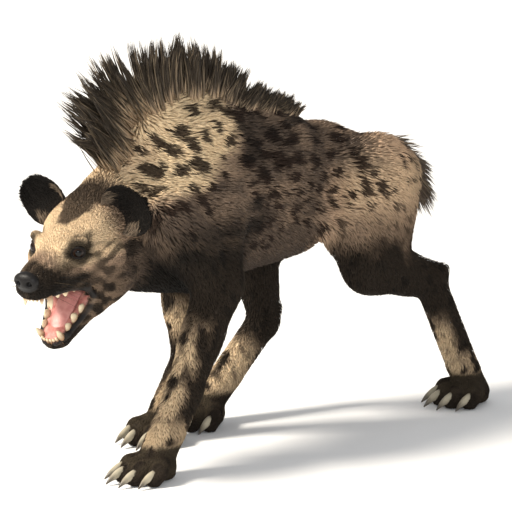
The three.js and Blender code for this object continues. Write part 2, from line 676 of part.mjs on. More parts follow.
// The tail is bushy to its tip
const tailLine = new THREE.CatmullRomCurve3(TAIL);
const tailLocks = [];
for (let ring = 0; ring < 5; ring++) {
  const t = 0.45 + ring * 0.135;
  const along = tailLine.getTangent(t);
  for (let i = 0; i < 4; i++) {
    const turn = radians(i * 90 + ring * 45);
    const out = v(Math.cos(turn), 0, 0).addScaledVector(along.clone().cross(v(1, 0, 0)), Math.sin(turn));
    const root = tailLine.getPoint(t).addScaledVector(out, 12 - ring);
    const way = along.clone().addScaledVector(out, 0.34 + spread(0.06)).normalize();
    tailLocks.push(lock(root, way, 86 - ring * 3 + spread(12), 31, v(0, 0, -1)));
  }
}
nodes.tail = largest(nodes.tail.add(Manifold.union(tailLocks)));

// A closed skin between two grids of points, given by their row and column. It makes the cup of an ear.
function shell(front, back, rows, columns) {
  const points = [];
  const triangles = [];
  const at = (face, r, c) => (face * (rows + 1) + r) * (columns + 1) + c;
  for (const face of [front, back])
    for (let r = 0; r <= rows; r++)
      for (let c = 0; c <= columns; c++) points.push(...face(r / rows, (2 * c) / columns - 1).toArray());
  const quad = (a, b, c, d) => triangles.push(a, b, c, a, c, d);
  for (let r = 0; r < rows; r++)
    for (let c = 0; c < columns; c++) {
      quad(at(0, r, c), at(0, r, c + 1), at(0, r + 1, c + 1), at(0, r + 1, c));
      quad(at(1, r, c), at(1, r + 1, c), at(1, r + 1, c + 1), at(1, r, c + 1));
    }
  for (let c = 0; c < columns; c++) {
    quad(at(0, 0, c), at(1, 0, c), at(1, 0, c + 1), at(0, 0, c + 1));
    quad(at(0, rows, c + 1), at(1, rows, c + 1), at(1, rows, c), at(0, rows, c));
  }
  for (let r = 0; r < rows; r++) {
    quad(at(0, r + 1, 0), at(1, r + 1, 0), at(1, r, 0), at(0, r, 0));
    quad(at(0, r, columns), at(1, r, columns), at(1, r + 1, columns), at(0, r + 1, columns));
  }
  const solid = solidOf({ points, triangles });
  return solid.volume() > 0 ? solid : solidOf({ points, triangles: triangles.reverse() });
}

function geometryOf(solid) {
  const { numProp, numVert, vertProperties, triVerts } = solid.getMesh();
  const geometry = new THREE.BufferGeometry();
  const position = new Float32Array(numVert * 3);
  for (let i = 0; i < numVert; i++)
    position.set(vertProperties.subarray(i * numProp, i * numProp + 3), 3 * i);
  geometry.setAttribute("position", new THREE.BufferAttribute(position, 3));
  geometry.setIndex(new THREE.BufferAttribute(triVerts, 1));
  return geometry;
}

// A copy whose every corner is moved outwards by about the stated distance
function grown(solid, by) {
  const geometry = geometryOf(solid);
  geometry.computeVertexNormals();
  const normal = geometry.attributes.normal.array;
  const points = [...geometry.attributes.position.array].map((value, i) => value + normal[i] * by);
  return solidOf({ points, triangles: [...geometry.index.array] });
}

// Ears: rounded cups, turned out and open to the front
for (const [name, side] of Object.entries(SIDES)) {
  const root = headPoint(side * 50, 20, 62);
  const up = headWay(side * 0.8, 0.14, 0.54);
  const open = headWay(side * 0.34, -0.92, 0.1);
  const across = up.clone().cross(open).normalize();
  open.copy(across).cross(up).normalize();
  const cup = (inset) => (s, t) => {
    const reach = lerp(-0.12, 1, s);
    const half = (EAR_WIDTH / 2) * Math.sqrt(Math.max(0.02, 1 - ((reach - 0.46) / 0.545) ** 2));
    const depth = lerp(30, 9, reach) * (1 - t * t) + inset * (1 - 0.45 * Math.abs(t));
    const curl = 12 * reach * reach;
    return root.clone().addScaledVector(up, EAR_LENGTH * (reach + 0.12))
      .addScaledVector(across, half * t).addScaledVector(open, curl - depth);
  };
  nodes["ear_" + name] = largest(shell(cup(0), cup(6.5), 9, 8).subtract(grown(nodes.head, GAP * 1.2)));
}

for (const name of ["head", "ear_left", "ear_right"])
  nodes.neck = nodes.neck.subtract(grown(nodes[name], GAP * 1.2));
nodes.neck = largest(nodes.neck);
nodes.tail = largest(nodes.tail.subtract(grown(nodes.rump, GAP)));

// Eyes in sockets, with lids: a thin cover on the ball, open in front
for (const [name, side] of Object.entries(SIDES)) {
  const gaze = headWay(side * GAZE.x, GAZE.y, GAZE.z);
  const across = gaze.clone().cross(headWay(0, 0.1, 1)).normalize();
  const frame = new THREE.Matrix4().makeBasis(across, gaze, across.clone().cross(gaze));
  frame.setPosition(headPoint(side * EYE.x, EYE.y, EYE.z));
  const ball = (radius) => solidFrom(new THREE.SphereGeometry(radius, 12, 8).applyMatrix4(frame));
  const opening = new THREE.CylinderGeometry(EYE_RADIUS, EYE_RADIUS, 40, 10);
  opening.scale(0.84, 1, 0.6).translate(0, 20, 0);
  const lids = ball(EYE_RADIUS + LID_THICKNESS).subtract(solidFrom(opening.applyMatrix4(frame)));
  nodes["eye_" + name] = ball(EYE_RADIUS);
  nodes.head = nodes.head.add(lids).subtract(ball(EYE_RADIUS + GAP));
}

// Nostrils: a pit on either side of the nose, and a slit that runs out and back from it
for (const side of Object.values(SIDES)) {
  const pit = spike(
    [headPoint(side * 10, -220, 27), headPoint(side * 12, -206, 24), headPoint(side * 9, -190, 20)],
    [13, 11, 0],
    [13, 10, 0],
    headWay(0, 0, 1),
    6,
  );
  const slit = spike(
    [headPoint(side * 13, -217, 24), headPoint(side * 24, -209, 20), headPoint(side * 33, -195, 17)],
    [9, 7, 0],
    [7, 5, 0],
    headWay(0, 0, 1),
    4,
  );
  nodes.head = nodes.head.subtract(pit).subtract(slit);
}
nodes.head = largest(nodes.head);

// Teeth, each a pointed peg sunk in the jaw it grows from. along is how long it is from front to back.
const tooth = (point, way, { x, y, z, tall, wide, along, lean = 0 }, side) =>
  spike(
    [-10, tall * 0.45, tall].map((h) =>
      point(side * (x + (h * lean) / 20), y - Math.abs(h) * 0.12, z).addScaledVector(way, h * HEAD_SCALE)),
    [along, along * 0.82, 0].map((size) => size * HEAD_SCALE),
    [wide, wide * 0.75, 0].map((size) => size * HEAD_SCALE),
    headWay(1, 0, 0),
    6,
  );
const UPPER = [
  { x: 4, y: -186, z: -13, tall: 7.5, wide: 7.5, along: 6 },
  { x: 11.5, y: -184, z: -13, tall: 8, wide: 7.5, along: 6.5 },
  { x: 18.5, y: -179, z: -13, tall: 14, wide: 9, along: 9 },
  { x: 26.5, y: -163, z: -11, tall: 29, wide: 12, along: 15, lean: 2 },
  { x: 30, y: -140, z: -12, tall: 14, wide: 11, along: 16 },
  { x: 34, y: -120, z: -13, tall: 18, wide: 13, along: 19 },
  { x: 39, y: -96, z: -15, tall: 15, wide: 11, along: 27 },
];
const LOWER = [
  { x: 3.5, y: -184, z: -26, tall: 8, wide: 7, along: 6 },
  { x: 10, y: -183, z: -26, tall: 8.5, wide: 7, along: 6 },
  { x: 15.5, y: -180, z: -26, tall: 9.5, wide: 7, along: 7 },
  { x: 21, y: -172, z: -28, tall: 28, wide: 12, along: 14, lean: 2 },
  { x: 26, y: -147, z: -30, tall: 15, wide: 10, along: 15 },
  { x: 30, y: -125, z: -31, tall: 19, wide: 12, along: 19 },
  { x: 35, y: -101, z: -32, tall: 16, wide: 11, along: 21 },
];
for (const side of Object.values(SIDES)) {
  for (const peg of UPPER) nodes.head = nodes.head.add(tooth(headPoint, headWay(0, 0, -1), peg, side));
  for (const peg of LOWER) nodes.jaw = nodes.jaw.add(tooth(jawPoint, jawWay(0, 0, 1), peg, side));
}

// The tongue lies in the floor of the mouth
const tongue = (extra) =>
  spike(
    [v(0, -46 + extra, -24), v(0, -80, -22), v(0, -120, -24), v(0, -150, -28), v(0, -170 - extra, -31)]
      .map(({ x, y, z }) => jawPoint(x, y, z)),
    [46, 50, 46, 38, 16].map((size) => size + 3 * extra),
    [12, 15, 15, 12, 6].map((size) => size + 3 * extra),
    jawWay(0, 0, 1),
    8,
  );
nodes.tongue = tongue(0);
nodes.jaw = largest(nodes.jaw.subtract(tongue(GAP)));
nodes.head = largest(nodes.head.subtract(tongue(GAP)));

// Claws: blunt and curved, one on each toe
for (const [name, { limb, size }] of Object.entries(PAWS)) {
  const at = pawFrame(limb.ball, limb.toes);
  TOES.forEach(({ across, ahead }, i) => {
    const clawAt = (t) =>
      at(across * (1.06 + 0.1 * t) * size, ahead * size - 6 + CLAW_LENGTH * t, 27 - 4 * t - 19 * t * t);
    const claw = (extra) =>
      spike(
        [clawAt(-extra / CLAW_LENGTH), clawAt(0.4), clawAt(0.75), clawAt(1)],
        [24, 20, 12, 2.4].map((wide) => wide + 2.6 * extra),
        [16, 15, 10, 2.4].map((thick) => thick + 2.6 * extra),
        v(1, 0, 0),
        5,
      );
    nodes[name + "_claw_" + (i + 1)] = claw(0);
    nodes[name] = nodes[name].subtract(claw(GAP));
  });
  nodes[name] = largest(nodes[name]);
}

const group = new THREE.Group();
group.name = "hyena";
const COLOURS = { claw: "#b9a98a", eye: "#1d1510", ear: "#3a2f28", tongue: "#b56a68", jaw: "#6b5b4c" };
for (const [name, solid] of Object.entries(nodes)) {
  const kind = Object.keys(COLOURS).find((word) => name.includes(word));
  const colour = kind ? COLOURS[kind] : "#a08a70";
  const finish = new THREE.MeshStandardMaterial({ color: colour, roughness: 0.9 });
  const mesh = new THREE.Mesh(geometryOf(solid), finish);
  mesh.name = name;
  group.add(mesh);
}

// The origin is the middle of the model's box, on the floor
const extent = new THREE.Box3().setFromObject(group);
group.position.set(-(extent.min.x + extent.max.x) / 2, -(extent.min.y + extent.max.y) / 2, -extent.min.z);

export default group;
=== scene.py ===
"""The looks of a life-size spotted hyena in a low, snarling stride.

One skin is drawn from the same bones and muscles as the solid model, and lies under its outer face by the
depth of the coat. Tufts, the mane, the tail, eyes, teeth, tongue and claws are set on it. Shapes are worked
out in millimetres in the hyena's own stride frame, and moved to the frame of the model when a mesh is made.
"""

import math

import bmesh
import bpy
import numpy as np
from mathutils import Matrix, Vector


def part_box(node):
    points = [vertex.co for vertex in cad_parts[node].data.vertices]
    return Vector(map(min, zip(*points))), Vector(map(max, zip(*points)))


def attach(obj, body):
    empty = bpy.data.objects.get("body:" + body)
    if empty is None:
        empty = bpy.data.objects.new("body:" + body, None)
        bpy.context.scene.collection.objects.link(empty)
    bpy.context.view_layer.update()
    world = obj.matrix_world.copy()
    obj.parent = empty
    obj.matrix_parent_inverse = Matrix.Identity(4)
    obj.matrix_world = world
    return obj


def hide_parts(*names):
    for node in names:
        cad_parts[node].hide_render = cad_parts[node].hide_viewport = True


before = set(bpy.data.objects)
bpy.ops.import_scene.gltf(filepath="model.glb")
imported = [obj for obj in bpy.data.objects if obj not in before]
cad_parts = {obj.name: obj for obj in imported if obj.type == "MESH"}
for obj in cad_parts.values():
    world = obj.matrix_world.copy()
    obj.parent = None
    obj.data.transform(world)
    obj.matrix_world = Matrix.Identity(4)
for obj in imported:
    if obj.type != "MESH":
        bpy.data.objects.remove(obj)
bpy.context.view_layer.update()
rng = np.random.default_rng(11)

# Sizes in millimetres and angles in degrees, as in the solid model
WITHERS_HEIGHT = 815
CHEST_HALF_WIDTH = 136
SHOULDER_HALF_WIDTH = 102
HIP_HALF_WIDTH = 88
HEAD_SCALE = 1.14
HEAD_YAW = 14
HEAD_PITCH = 11
GAPE = 32
EYE_RADIUS = 15.5
EAR_LENGTH = 104
EAR_WIDTH = 126
CLAW_LENGTH = 54
FOREPAW_SIZE = 1.3
HIND_PAW_SIZE = 1.28

# Depth of the coat, from the skin to its outer face
COAT_BODY = 11.0
COAT_LEG = 5.5
COAT_PAW = 3.0
COAT_HEAD = 6.5
COAT_FACE = 3.4
BARE_DEPTH = 0.8

COAT_TUFTS, QUICK_COAT_TUFTS = 118000, 30000
MANE_HAIRS, QUICK_MANE_HAIRS = 5200, 1500
TAIL_HAIRS, QUICK_TAIL_HAIRS = 2600, 700
EAR_HAIRS, QUICK_EAR_HAIRS = 3600, 500
TUFTS_IN_A_PIECE = 19000
MANE_CLUMPS = 190
MANE_HALF_WIDTH = 30

# The photo's camera: angles in degrees, places in metres in the model's frame, lens in millimetres
CAMERA_AZIMUTH = 45.0
CAMERA_ELEVATION = 13.0
CAMERA_DISTANCE = 18.0
CAMERA_AIM = (0.0083, 0.0883, 0.4088)
CAMERA_LENS = 569.4


def spot(x, y, z):
    return np.array([x, y, z], float)


def between(a, b, t):
    return a + (b - a) * t


def smooth(x, low, high):
    t = np.clip((x - low) / (high - low), 0, 1)
    return t * t * (3 - 2 * t)


def unit(vectors):
    return vectors / np.maximum(np.linalg.norm(vectors, axis=-1, keepdims=True), 1e-9)


def soft_min(a, b, k):
    h = np.maximum(k - np.abs(a - b), 0) / k
    return np.minimum(a, b) - h * h * k / 4


FORE = {
    "left": dict(blade=spot(62, 255, 722), shoulder=spot(SHOULDER_HALF_WIDTH + 8, 148, 560),
                 elbow=spot(124, 266, 400), wrist=spot(120, 164, 182), ball=spot(122, 74, 42), toes=-4),
    "right": dict(blade=spot(-62, 262, 722), shoulder=spot(-SHOULDER_HALF_WIDTH, 176, 560),
                  elbow=spot(-100, 362, 424), wrist=spot(-92, 392, 182), ball=spot(-112, 324, 42), toes=8),
}
HIND = {
    "left": dict(hip=spot(HIP_HALF_WIDTH, 792, 560), knee=spot(126, 736, 378), hock=spot(126, 938, 294),
                 ball=spot(128, 1064, 42), toes=-3),
    "right": dict(hip=spot(-HIP_HALF_WIDTH, 792, 560), knee=spot(-116, 606, 426), hock=spot(-124, 654, 214),
                  ball=spot(-148, 492, 42), toes=8),
}
SIDES = {"left": 1, "right": -1}
TAIL = [spot(0, 866, 592), spot(0, 926, 584), spot(0, 968, 553), spot(0, 988, 514)]


class Flesh:
    """A smooth union of tapered capsules and ellipsoids, as a distance."""

    def __init__(self):
        self.shapes = []

    def bone(self, a, b, ra, rb, flat=1.0, blend=26):
        middle = (a + b) / 2
        reach = np.linalg.norm(b - a) / 2 + max(ra, rb) * max(1, flat)
        self.shapes.append(dict(a=a, d=b - a, ra=ra, rb=rb, flat=flat, blend=blend, c=middle, reach=reach))
        return self

    def lump(self, c, rx, ry, rz, tilt=0.0, blend=26):
        turned = math.radians(tilt)
        self.shapes.append(dict(c=c, r=(rx, ry, rz), tilt=turned, blend=blend, reach=max(rx, ry, rz)))
        return self

    def at(self, points, margin=90):
        nearest = np.full(len(points), 1e3)
        for s in self.shapes:
            off = points - s["c"]
            close = np.flatnonzero((np.abs(off) < s["reach"] + margin).all(1))
            if not len(close):
                continue
            if "d" in s:
                p = points[close] - s["a"]
                t = np.clip(p @ s["d"] / max(s["d"] @ s["d"], 1e-9), 0, 1)
                q = p - t[:, None] * s["d"]
                q[:, 0] /= s["flat"]
                near = (np.sqrt((q * q).sum(1)) - (s["ra"] + (s["rb"] - s["ra"]) * t)) * min(1, s["flat"])
            else:
                (x, y, z), (rx, ry, rz) = off[close].T, s["r"]
                cos, sin = math.cos(s["tilt"]), math.sin(s["tilt"])
                u = np.stack([x / rx, (y * cos + z * sin) / ry, (z * cos - y * sin) / rz], 1)
                k = np.sqrt((u * u).sum(1))
                g = np.sqrt(((u / (rx, ry, rz)) ** 2).sum(1))
                near = np.where(g > 1e-9, k * (k - 1) / np.maximum(g, 1e-9), -min(rx, ry, rz))
            nearest[close] = soft_min(nearest[close], near, s["blend"])
        return nearest


def make_trunk():
    top = WITHERS_HEIGHT
    flesh = Flesh()
    for a, b, ra, rb, flat in (
        (spot(0, 235, 575), spot(0, 520, 572), 168, 150, CHEST_HALF_WIDTH / 168),
        (spot(0, 165, 490), spot(0, 300, 442), 100, 84, 0.95),
        (spot(0, 380, 472), spot(0, 612, 476), 92, 84, 0.95),
        (spot(0, 200, top - 82), spot(0, 345, top - 76), 74, 62, 0.78),
        (spot(0, 330, 726), spot(0, 560, 670), 70, 64, 1.15),
        (spot(0, 520, 596), spot(0, 700, 572), 128, 108, 0.86),
        (spot(0, 700, 594), spot(0, 850, 556), 84, 66, 1.2),
        (spot(0, 36, 542), spot(0, 200, 622), 96, 124, 0.84),
        (spot(0, 62, 592), spot(0, 195, 728), 58, 70, 0.8),
        (spot(0, 40, 480), spot(0, 190, 502), 70, 104, 0.84),
    ):
        flesh.bone(a, b, ra, rb, flat, 40)
    return flesh.lump(spot(0, 265, top - 50), 44, 115, 50, -2, 40)


def add_limbs(flesh):
    for name, side in SIDES.items():
        f = FORE[name]
        blade, shoulder, elbow, wrist, ball = (f[k] for k in ("blade", "shoulder", "elbow", "wrist", "ball"))
        flesh.bone(blade, shoulder, 56, 74, 0.6, 34)
        flesh.bone(shoulder, elbow, 76, 60, 0.72, 30)
        upper_back = between(blade, elbow, 0.42) + spot(side * 22, 34, 0)
        flesh.bone(upper_back, elbow + spot(0, 34, 22), 70, 32, 0.6, 30)
        flesh.bone(elbow, between(elbow, wrist, 0.55), 57, 49, 0.88, 18)
        flesh.bone(between(elbow, wrist, 0.45), wrist, 50, 43, 0.9, 14)
        flesh.bone(wrist, ball, 43, 42, 0.95, 12)
        h = HIND[name]
        hip, knee, hock, ball = (h[k] for k in ("hip", "knee", "hock", "ball"))
        point = hock + spot(0, 30, 24)
        flesh.bone(hip, knee, 106, 64, 0.62, 36)
        buttock = hip + spot(-side * 22, 80, -22)
        flesh.bone(buttock, between(knee, hock, 0.22) + spot(0, 12, 8), 80, 60, 0.7, 34)
        flesh.bone(spot(side * 84, between(hip, knee, 0.8)[1] - 110, 500), knee, 56, 54, 0.6, 34)
        flesh.bone(knee, between(knee, hock, 0.6), 60, 46, 0.85, 22)
        flesh.bone(between(knee, hock, 0.5), hock, 46, 38, 0.85, 14)
        flesh.bone(between(knee, hock, 0.35) + spot(0, 14, 10), point, 42, 21, 0.8, 14)
        flesh.bone(point, hock, 22, 36, 0.9, 12)
        flesh.bone(hock, ball, 38, 39, 0.9, 12)


def paw_frame(ball, turn):
    angle = math.radians(turn)

    def at(across, ahead, z):
        x, y = across, -ahead
        return spot(ball[0] + x * math.cos(angle) - y * math.sin(angle),
                    ball[1] + x * math.sin(angle) + y * math.cos(angle), z)
    return at


TOES = ((-38, 38), (-14, 58), (14, 58), (38, 38))
PAWS = {}
for name in SIDES:
    PAWS["forepaw_" + name] = (FORE[name], FOREPAW_SIZE)
    PAWS["hind_paw_" + name] = (HIND[name], HIND_PAW_SIZE)


def add_paws(flesh):
    for limb, size in PAWS.values():
        at = paw_frame(limb["ball"], limb["toes"])
        flesh.lump(at(0, 4, 28), 42 * size, 35 * size, 32, 0, 14)
        flesh.lump(at(0, -12, 11), 30 * size, 24 * size, 16, 0, 10)
        for across, ahead in TOES:
            root = at(across * 0.7 * size, 10, 38)
            knuckle = at(across * size, (ahead - 14) * size, 30)
            tip = at(across * 1.06 * size, ahead * size, 14)
            flesh.bone(root, knuckle, 16 * size, 16 * size, 1, 7)
            flesh.bone(knuckle, tip, 16 * size, 14.5 * size, 1, 7)


trunk = make_trunk()
body = Flesh()
body.shapes = list(trunk.shapes)
add_limbs(body)
body.bone(TAIL[0], TAIL[1], 34, 25, 0.9, 16)
body.bone(TAIL[1], TAIL[2], 25, 21, 1, 12)
body.bone(TAIL[2], TAIL[3], 21, 13, 1, 12)
add_paws(body)

# The head's own frame: x to its left, -y out of the nose, +z up, its origin between the jaw joints.
# Left and right are alike in it, so bones and muscles are given for the left only
pitch, yaw = math.radians(HEAD_PITCH), math.radians(HEAD_YAW)
TIP = np.array([[1, 0, 0], [0, math.cos(pitch), -math.sin(pitch)], [0, math.sin(pitch), math.cos(pitch)]])
TURN = np.array([[math.cos(yaw), -math.sin(yaw), 0], [math.sin(yaw), math.cos(yaw), 0], [0, 0, 1]])
HEAD_TURN = TURN @ TIP
HEAD_PLACE = spot(5, -33, 500)
gape = math.radians(GAPE)
JAW_TURN = np.array([[1, 0, 0], [0, math.cos(gape), -math.sin(gape)], [0, math.sin(gape), math.cos(gape)]])
EYE = spot(45, -80, 45)


def head_point(p):
    return np.asarray(p, float) * HEAD_SCALE @ HEAD_TURN.T + HEAD_PLACE


def head_way(d):
    return unit(np.asarray(d, float) @ HEAD_TURN.T)


def to_head(points):
    return (points - HEAD_PLACE) @ HEAD_TURN / HEAD_SCALE


def jaw_point(p):
    return head_point(np.asarray(p, float) @ JAW_TURN.T)


# The lips, from the front to the corner of the mouth
UPPER_LIP = np.array([(14, -182, -8), (31, -152, -11), (43, -104, -17),
                      (52, -72, -32), (52, -50, -60)], float)
LOWER_LIP = np.array([(12, -184, -30), (28, -162, -31), (44, -96, -33), (52, -75, -25)], float)


def make_lip(knots, sizes):
    """A lip along its knots, from each stretch's radius at both ends and its blend."""
    lip = Flesh()
    for a, b, (ra, rb, blend) in zip(knots[:-1], knots[1:], sizes):
        lip.bone(a, b, ra, rb, 1, blend)
    return lip


cranium = Flesh()
cranium.lump(spot(0, 20, 38), 60, 72, 54)
cranium.bone(spot(0, -14, 72), spot(0, 62, 72), 28, 36)
cranium.lump(spot(38, 6, 50), 34, 54, 40)
cranium.bone(spot(0, 55, 40), spot(0, 110, 40), 68, 84, 0.95, 36)
cranium.lump(spot(0, -54, 50), 44, 46, 36)
cranium.bone(spot(56, -70, 12), spot(72, -2, 8), 18, 26, 1, 22)
cranium.lump(spot(58, -2, -30), 30, 52, 54, 0, 22)
cranium.bone(spot(0, -74, 22), spot(0, -168, 12), 43, 31, 0.96, 20)
cranium.bone(spot(0, -70, 56), spot(0, -178, 30), 18, 17, 1.2, 16)
cranium.bone(spot(17, -174, 4), spot(37, -92, -4), 19, 23, 1, 12)
cranium.lump(spot(0, -184, 4), 28, 16, 19, 0, 10)
cranium.lump(spot(0, -196, 27), 27, 15, 18, 0, 6)
cranium.bone(spot(23, -97, 58), spot(53, -71, 63), 11, 10.5, 1, 16)
cranium.bone(spot(34, -98, 30), spot(60, -70, 26), 9, 12, 1, 10)
cranium.bone(spot(42, -92, -8), spot(50, -54, -20), 15, 16, 1, 14)
upper_lip = make_lip(UPPER_LIP, ((7, 6.5, 5), (6.5, 7, 5), (7, 7, 6), (7, 6.5, 8)))
cranium.shapes += upper_lip.shapes
palate = Flesh().bone(spot(0, -160, -28), spot(0, -64, -34), 18, 30, 1.15)
mandible = Flesh()
mandible.lump(spot(0, -168, -38), 25, 24, 18, 0, 14)
mandible.bone(spot(16, -164, -40), spot(40, -70, -44), 15, 22, 1, 14)
mandible.bone(spot(40, -70, -46), spot(56, -4, -50), 24, 40, 1, 18)
mandible.bone(spot(0, -140, -50), spot(0, -30, -58), 14, 36, 1.3, 18)
mandible.lump(spot(54, -20, -34), 28, 46, 44, 0, 20)
lower_lip = make_lip(LOWER_LIP, ((6.5, 6, 5), (6, 6.5, 5), (6.5, 6.5, 6)))
mandible.shapes += lower_lip.shapes
# Nostrils with their slits, and the groove below the nose
nostrils = Flesh()
nostrils.bone(spot(10, -220, 27), spot(12, -204, 24), 6.2, 4.2, 1, 3)
nostrils.bone(spot(13, -216, 24), spot(24, -208, 20), 3.6, 2.6, 1, 3)
nostrils.bone(spot(24, -208, 20), spot(31, -197, 17), 2.6, 1.6, 1, 3)
nostrils.bone(spot(0, -216, 20), spot(0, -203, -14), 1.6, 1.8, 1, 3)


def head_at(points):
    """The head's distance: skull with folds in its snarl, less palate and nostrils, and the lower jaw."""
    p = to_head(points)
    p[:, 0] = np.abs(p[:, 0])
    hx, hy, hz = p.T
    folds = smooth(hx, 8, 20) * smooth(hy, -188, -168) * smooth(hy, -98, -122) * smooth(hz, 0, 14)
    upper = cranium.at(p, 70) + 1.1 * folds * np.sin((hy - 0.9 * hz) * 0.52)
    upper = -soft_min(-upper, palate.at(p, 70), 8)
    upper = -soft_min(-upper, nostrils.at(p, 30), 3)
    lower = mandible.at(p @ JAW_TURN, 70)
    return soft_min(upper, lower, 10) * HEAD_SCALE


def flesh_at(points):
    return soft_min(body.at(points), head_at(points), 30)


def regions(points):
    """How much each point belongs to the head, legs, paws and tail, and where it is in the head's frame."""
    x, y, z = points.T
    p = to_head(points)
    headness = smooth(p[:, 1], 105, 45) * smooth(head_at(points), 70, 25)
    leg = smooth(trunk.at(points), 4, 46) * (1 - headness) * smooth(z, 560, 440)
    paw = smooth(z, 105, 70)
    tail = smooth(y, 900, 935) * smooth(z, 380, 420) * smooth(np.abs(x), 75, 55)
    face = headness * smooth(p[:, 1], 30, -30)
    return dict(head=headness, leg=leg * (1 - tail), paw=paw, tail=tail, face=face, local=p)


def coat_depth(r):
    depth = COAT_BODY + (COAT_LEG - COAT_BODY) * r["leg"]
    depth = depth + (COAT_PAW - depth) * r["paw"]
    depth = depth + (COAT_HEAD - depth) * r["head"]
    depth = depth + (COAT_FACE - depth) * r["face"]
    near = np.flatnonzero(r["face"] > 0.02)
    wet, bald = mouth_masks(r["local"][near])
    depth[near] += (BARE_DEPTH - depth[near]) * np.clip(wet + bald, 0, 1)
    return depth


def mouth_masks(local):
    """Wet and bare places in the head's frame: the inside of the mouth, and the nose pad and lips."""
    h = local.copy()
    h[:, 0] = np.abs(h[:, 0])
    hx, hy, hz = h.T
    in_jaw = h @ JAW_TURN
    jx, jy, jz = in_jaw.T
    lip_x = np.interp(hy, UPPER_LIP[:, 1], UPPER_LIP[:, 0])
    lip_z = np.interp(hy, UPPER_LIP[:, 1], UPPER_LIP[:, 2])
    within = np.maximum(smooth(lip_x - hx, 21, 26), smooth(hz - lip_z, 1, -3))
    roof = smooth(palate.at(h, 40), 3.5, 1.0) * smooth(hy, -190, -176) * smooth(hz, 2, -4)
    bar = 15 + (jy + 164) * 0.27
    floor = smooth(jx - bar, 9, 3) * smooth(jz, -42, -34) * smooth(jy, -188, -180) * smooth(jz, 6, -4)
    wet = np.maximum(roof, floor) * smooth(hy, 0, -30) * within
    pad = smooth(np.linalg.norm((h - spot(0, -199, 26)) / (29, 16, 20), axis=1), 1.12, 1.0)
    lip = np.maximum(smooth(upper_lip.at(h, 20), 2.0, -1.0) * smooth(hz, 2, -8),
                     smooth(lower_lip.at(in_jaw, 20), 1.5, -1.0) * smooth(jz, -38, -32))
    bald = np.maximum(pad, 0.95 * lip)
    wet = wet * (1 - 0.8 * lip) * (1 - pad)
    return wet, bald * (1 - wet)


def skin_at(points):
    """The height over the skin."""
    return flesh_at(points) + coat_depth(regions(points))


def slope(at, points, step=1.2):
    """The field's direction of steepest rise, from four samples."""
    total = np.zeros_like(points)
    for corner in ((1, -1, -1), (-1, -1, 1), (-1, 1, -1), (1, 1, 1)):
        corner = np.array(corner, float)
        total += corner * at(points + corner * step)[:, None]
    return unit(total)


def axis(*stops):
    """Grid lines from stops of (start, end, step)."""
    return np.concatenate([np.arange(start, end, step) for start, end, step in stops])


def net(at, axes, skip=4, margin=36):
    """Surface nets: the closed surface where the field is zero, as points and quads."""
    shape = tuple(len(a) for a in axes)
    coarse = [a[::skip] for a in axes]
    coarse_points = np.stack(np.meshgrid(*coarse, indexing="ij"), -1).reshape(-1, 3)
    rough = at(coarse_points).reshape([len(c) for c in coarse])
    near = np.abs(rough) < margin
    for k in range(3):
        near = near | np.roll(near, -1, k) | np.roll(near, 1, k)
    pick = np.ix_(*[np.minimum(np.arange(n) // skip, len(c) - 1) for n, c in zip(shape, coarse)])
    values = rough[pick].astype(float)
    todo = np.argwhere(near[pick])
    places = np.stack([axes[k][todo[:, k]] for k in range(3)], 1)
    values[tuple(todo.T)] = at(places)
    inside = values < 0
    cells = np.zeros([n - 1 for n in shape], int)
    corners = [(i, j, k) for i in (0, 1) for j in (0, 1) for k in (0, 1)]
    for i, j, k in corners:
        cells += inside[i:shape[0] - 1 + i, j:shape[1] - 1 + j, k:shape[2] - 1 + k]
    active = np.argwhere((cells > 0) & (cells < 8))
    number = np.full([n - 1 for n in shape], -1)
    number[tuple(active.T)] = np.arange(len(active))
    total = np.zeros((len(active), 3))
    count = np.zeros(len(active))
    for a in corners:
        for b in corners:
            if sum(b) != sum(a) + 1 or sum(abs(x - y) for x, y in zip(a, b)) != 1:
                continue
            ia, ib = active + a, active + b
            va, vb = values[tuple(ia.T)], values[tuple(ib.T)]
            cross = (va < 0) != (vb < 0)
            t = np.where(cross, va / np.where(cross, va - vb, 1), 0)
            pa = np.stack([axes[k][ia[:, k]] for k in range(3)], 1)
            pb = np.stack([axes[k][ib[:, k]] for k in range(3)], 1)
            total[cross] += (pa + (pb - pa) * t[:, None])[cross]
            count += cross
    points = total / count[:, None]
    quads = []
    for k in range(3):
        u, w = (k + 1) % 3, (k + 2) % 3
        ahead = np.roll(inside, -1, k)
        edge = np.argwhere(inside != ahead)
        edge = edge[(edge[:, k] < shape[k] - 1) & (edge[:, u] > 0) & (edge[:, w] > 0)
                    & (edge[:, u] < shape[u] - 1) & (edge[:, w] < shape[w] - 1)]
        ring = []
        for du, dw in ((-1, -1), (0, -1), (0, 0), (-1, 0)):
            cell = edge.copy()
            cell[:, u] += du
            cell[:, w] += dw
            ring.append(number[tuple(cell.T)])
        quad = np.stack(ring, 1)
        leaving = inside[tuple(edge.T)]
        quads.append(np.where(leaving[:, None], quad, quad[:, ::-1]))
    return points, np.concatenate(quads)


def settle(at, points, quads, rounds=3):
    """Evens the net out along its surface, then sets it on the surface."""
    for _ in range(2):
        total = np.zeros_like(points)
        count = np.zeros(len(points))
        for k in range(4):
            np.add.at(total, quads[:, k], points[quads[:, (k + 1) % 4]] + points[quads[:, k - 1]])
            np.add.at(count, quads[:, k], 2)
        points = points + 0.5 * (total / count[:, None] - points)
    for _ in range(rounds):
        points = points - slope(at, points) * np.clip(at(points), -6, 6)[:, None]
    return points


eye_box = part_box("eye_left")
eye_middle = (np.array(eye_box[0]) + np.array(eye_box[1])) * 500
SHIFT = eye_middle - head_point(EYE)


def to_model(points):
    return (points + SHIFT) / 1000


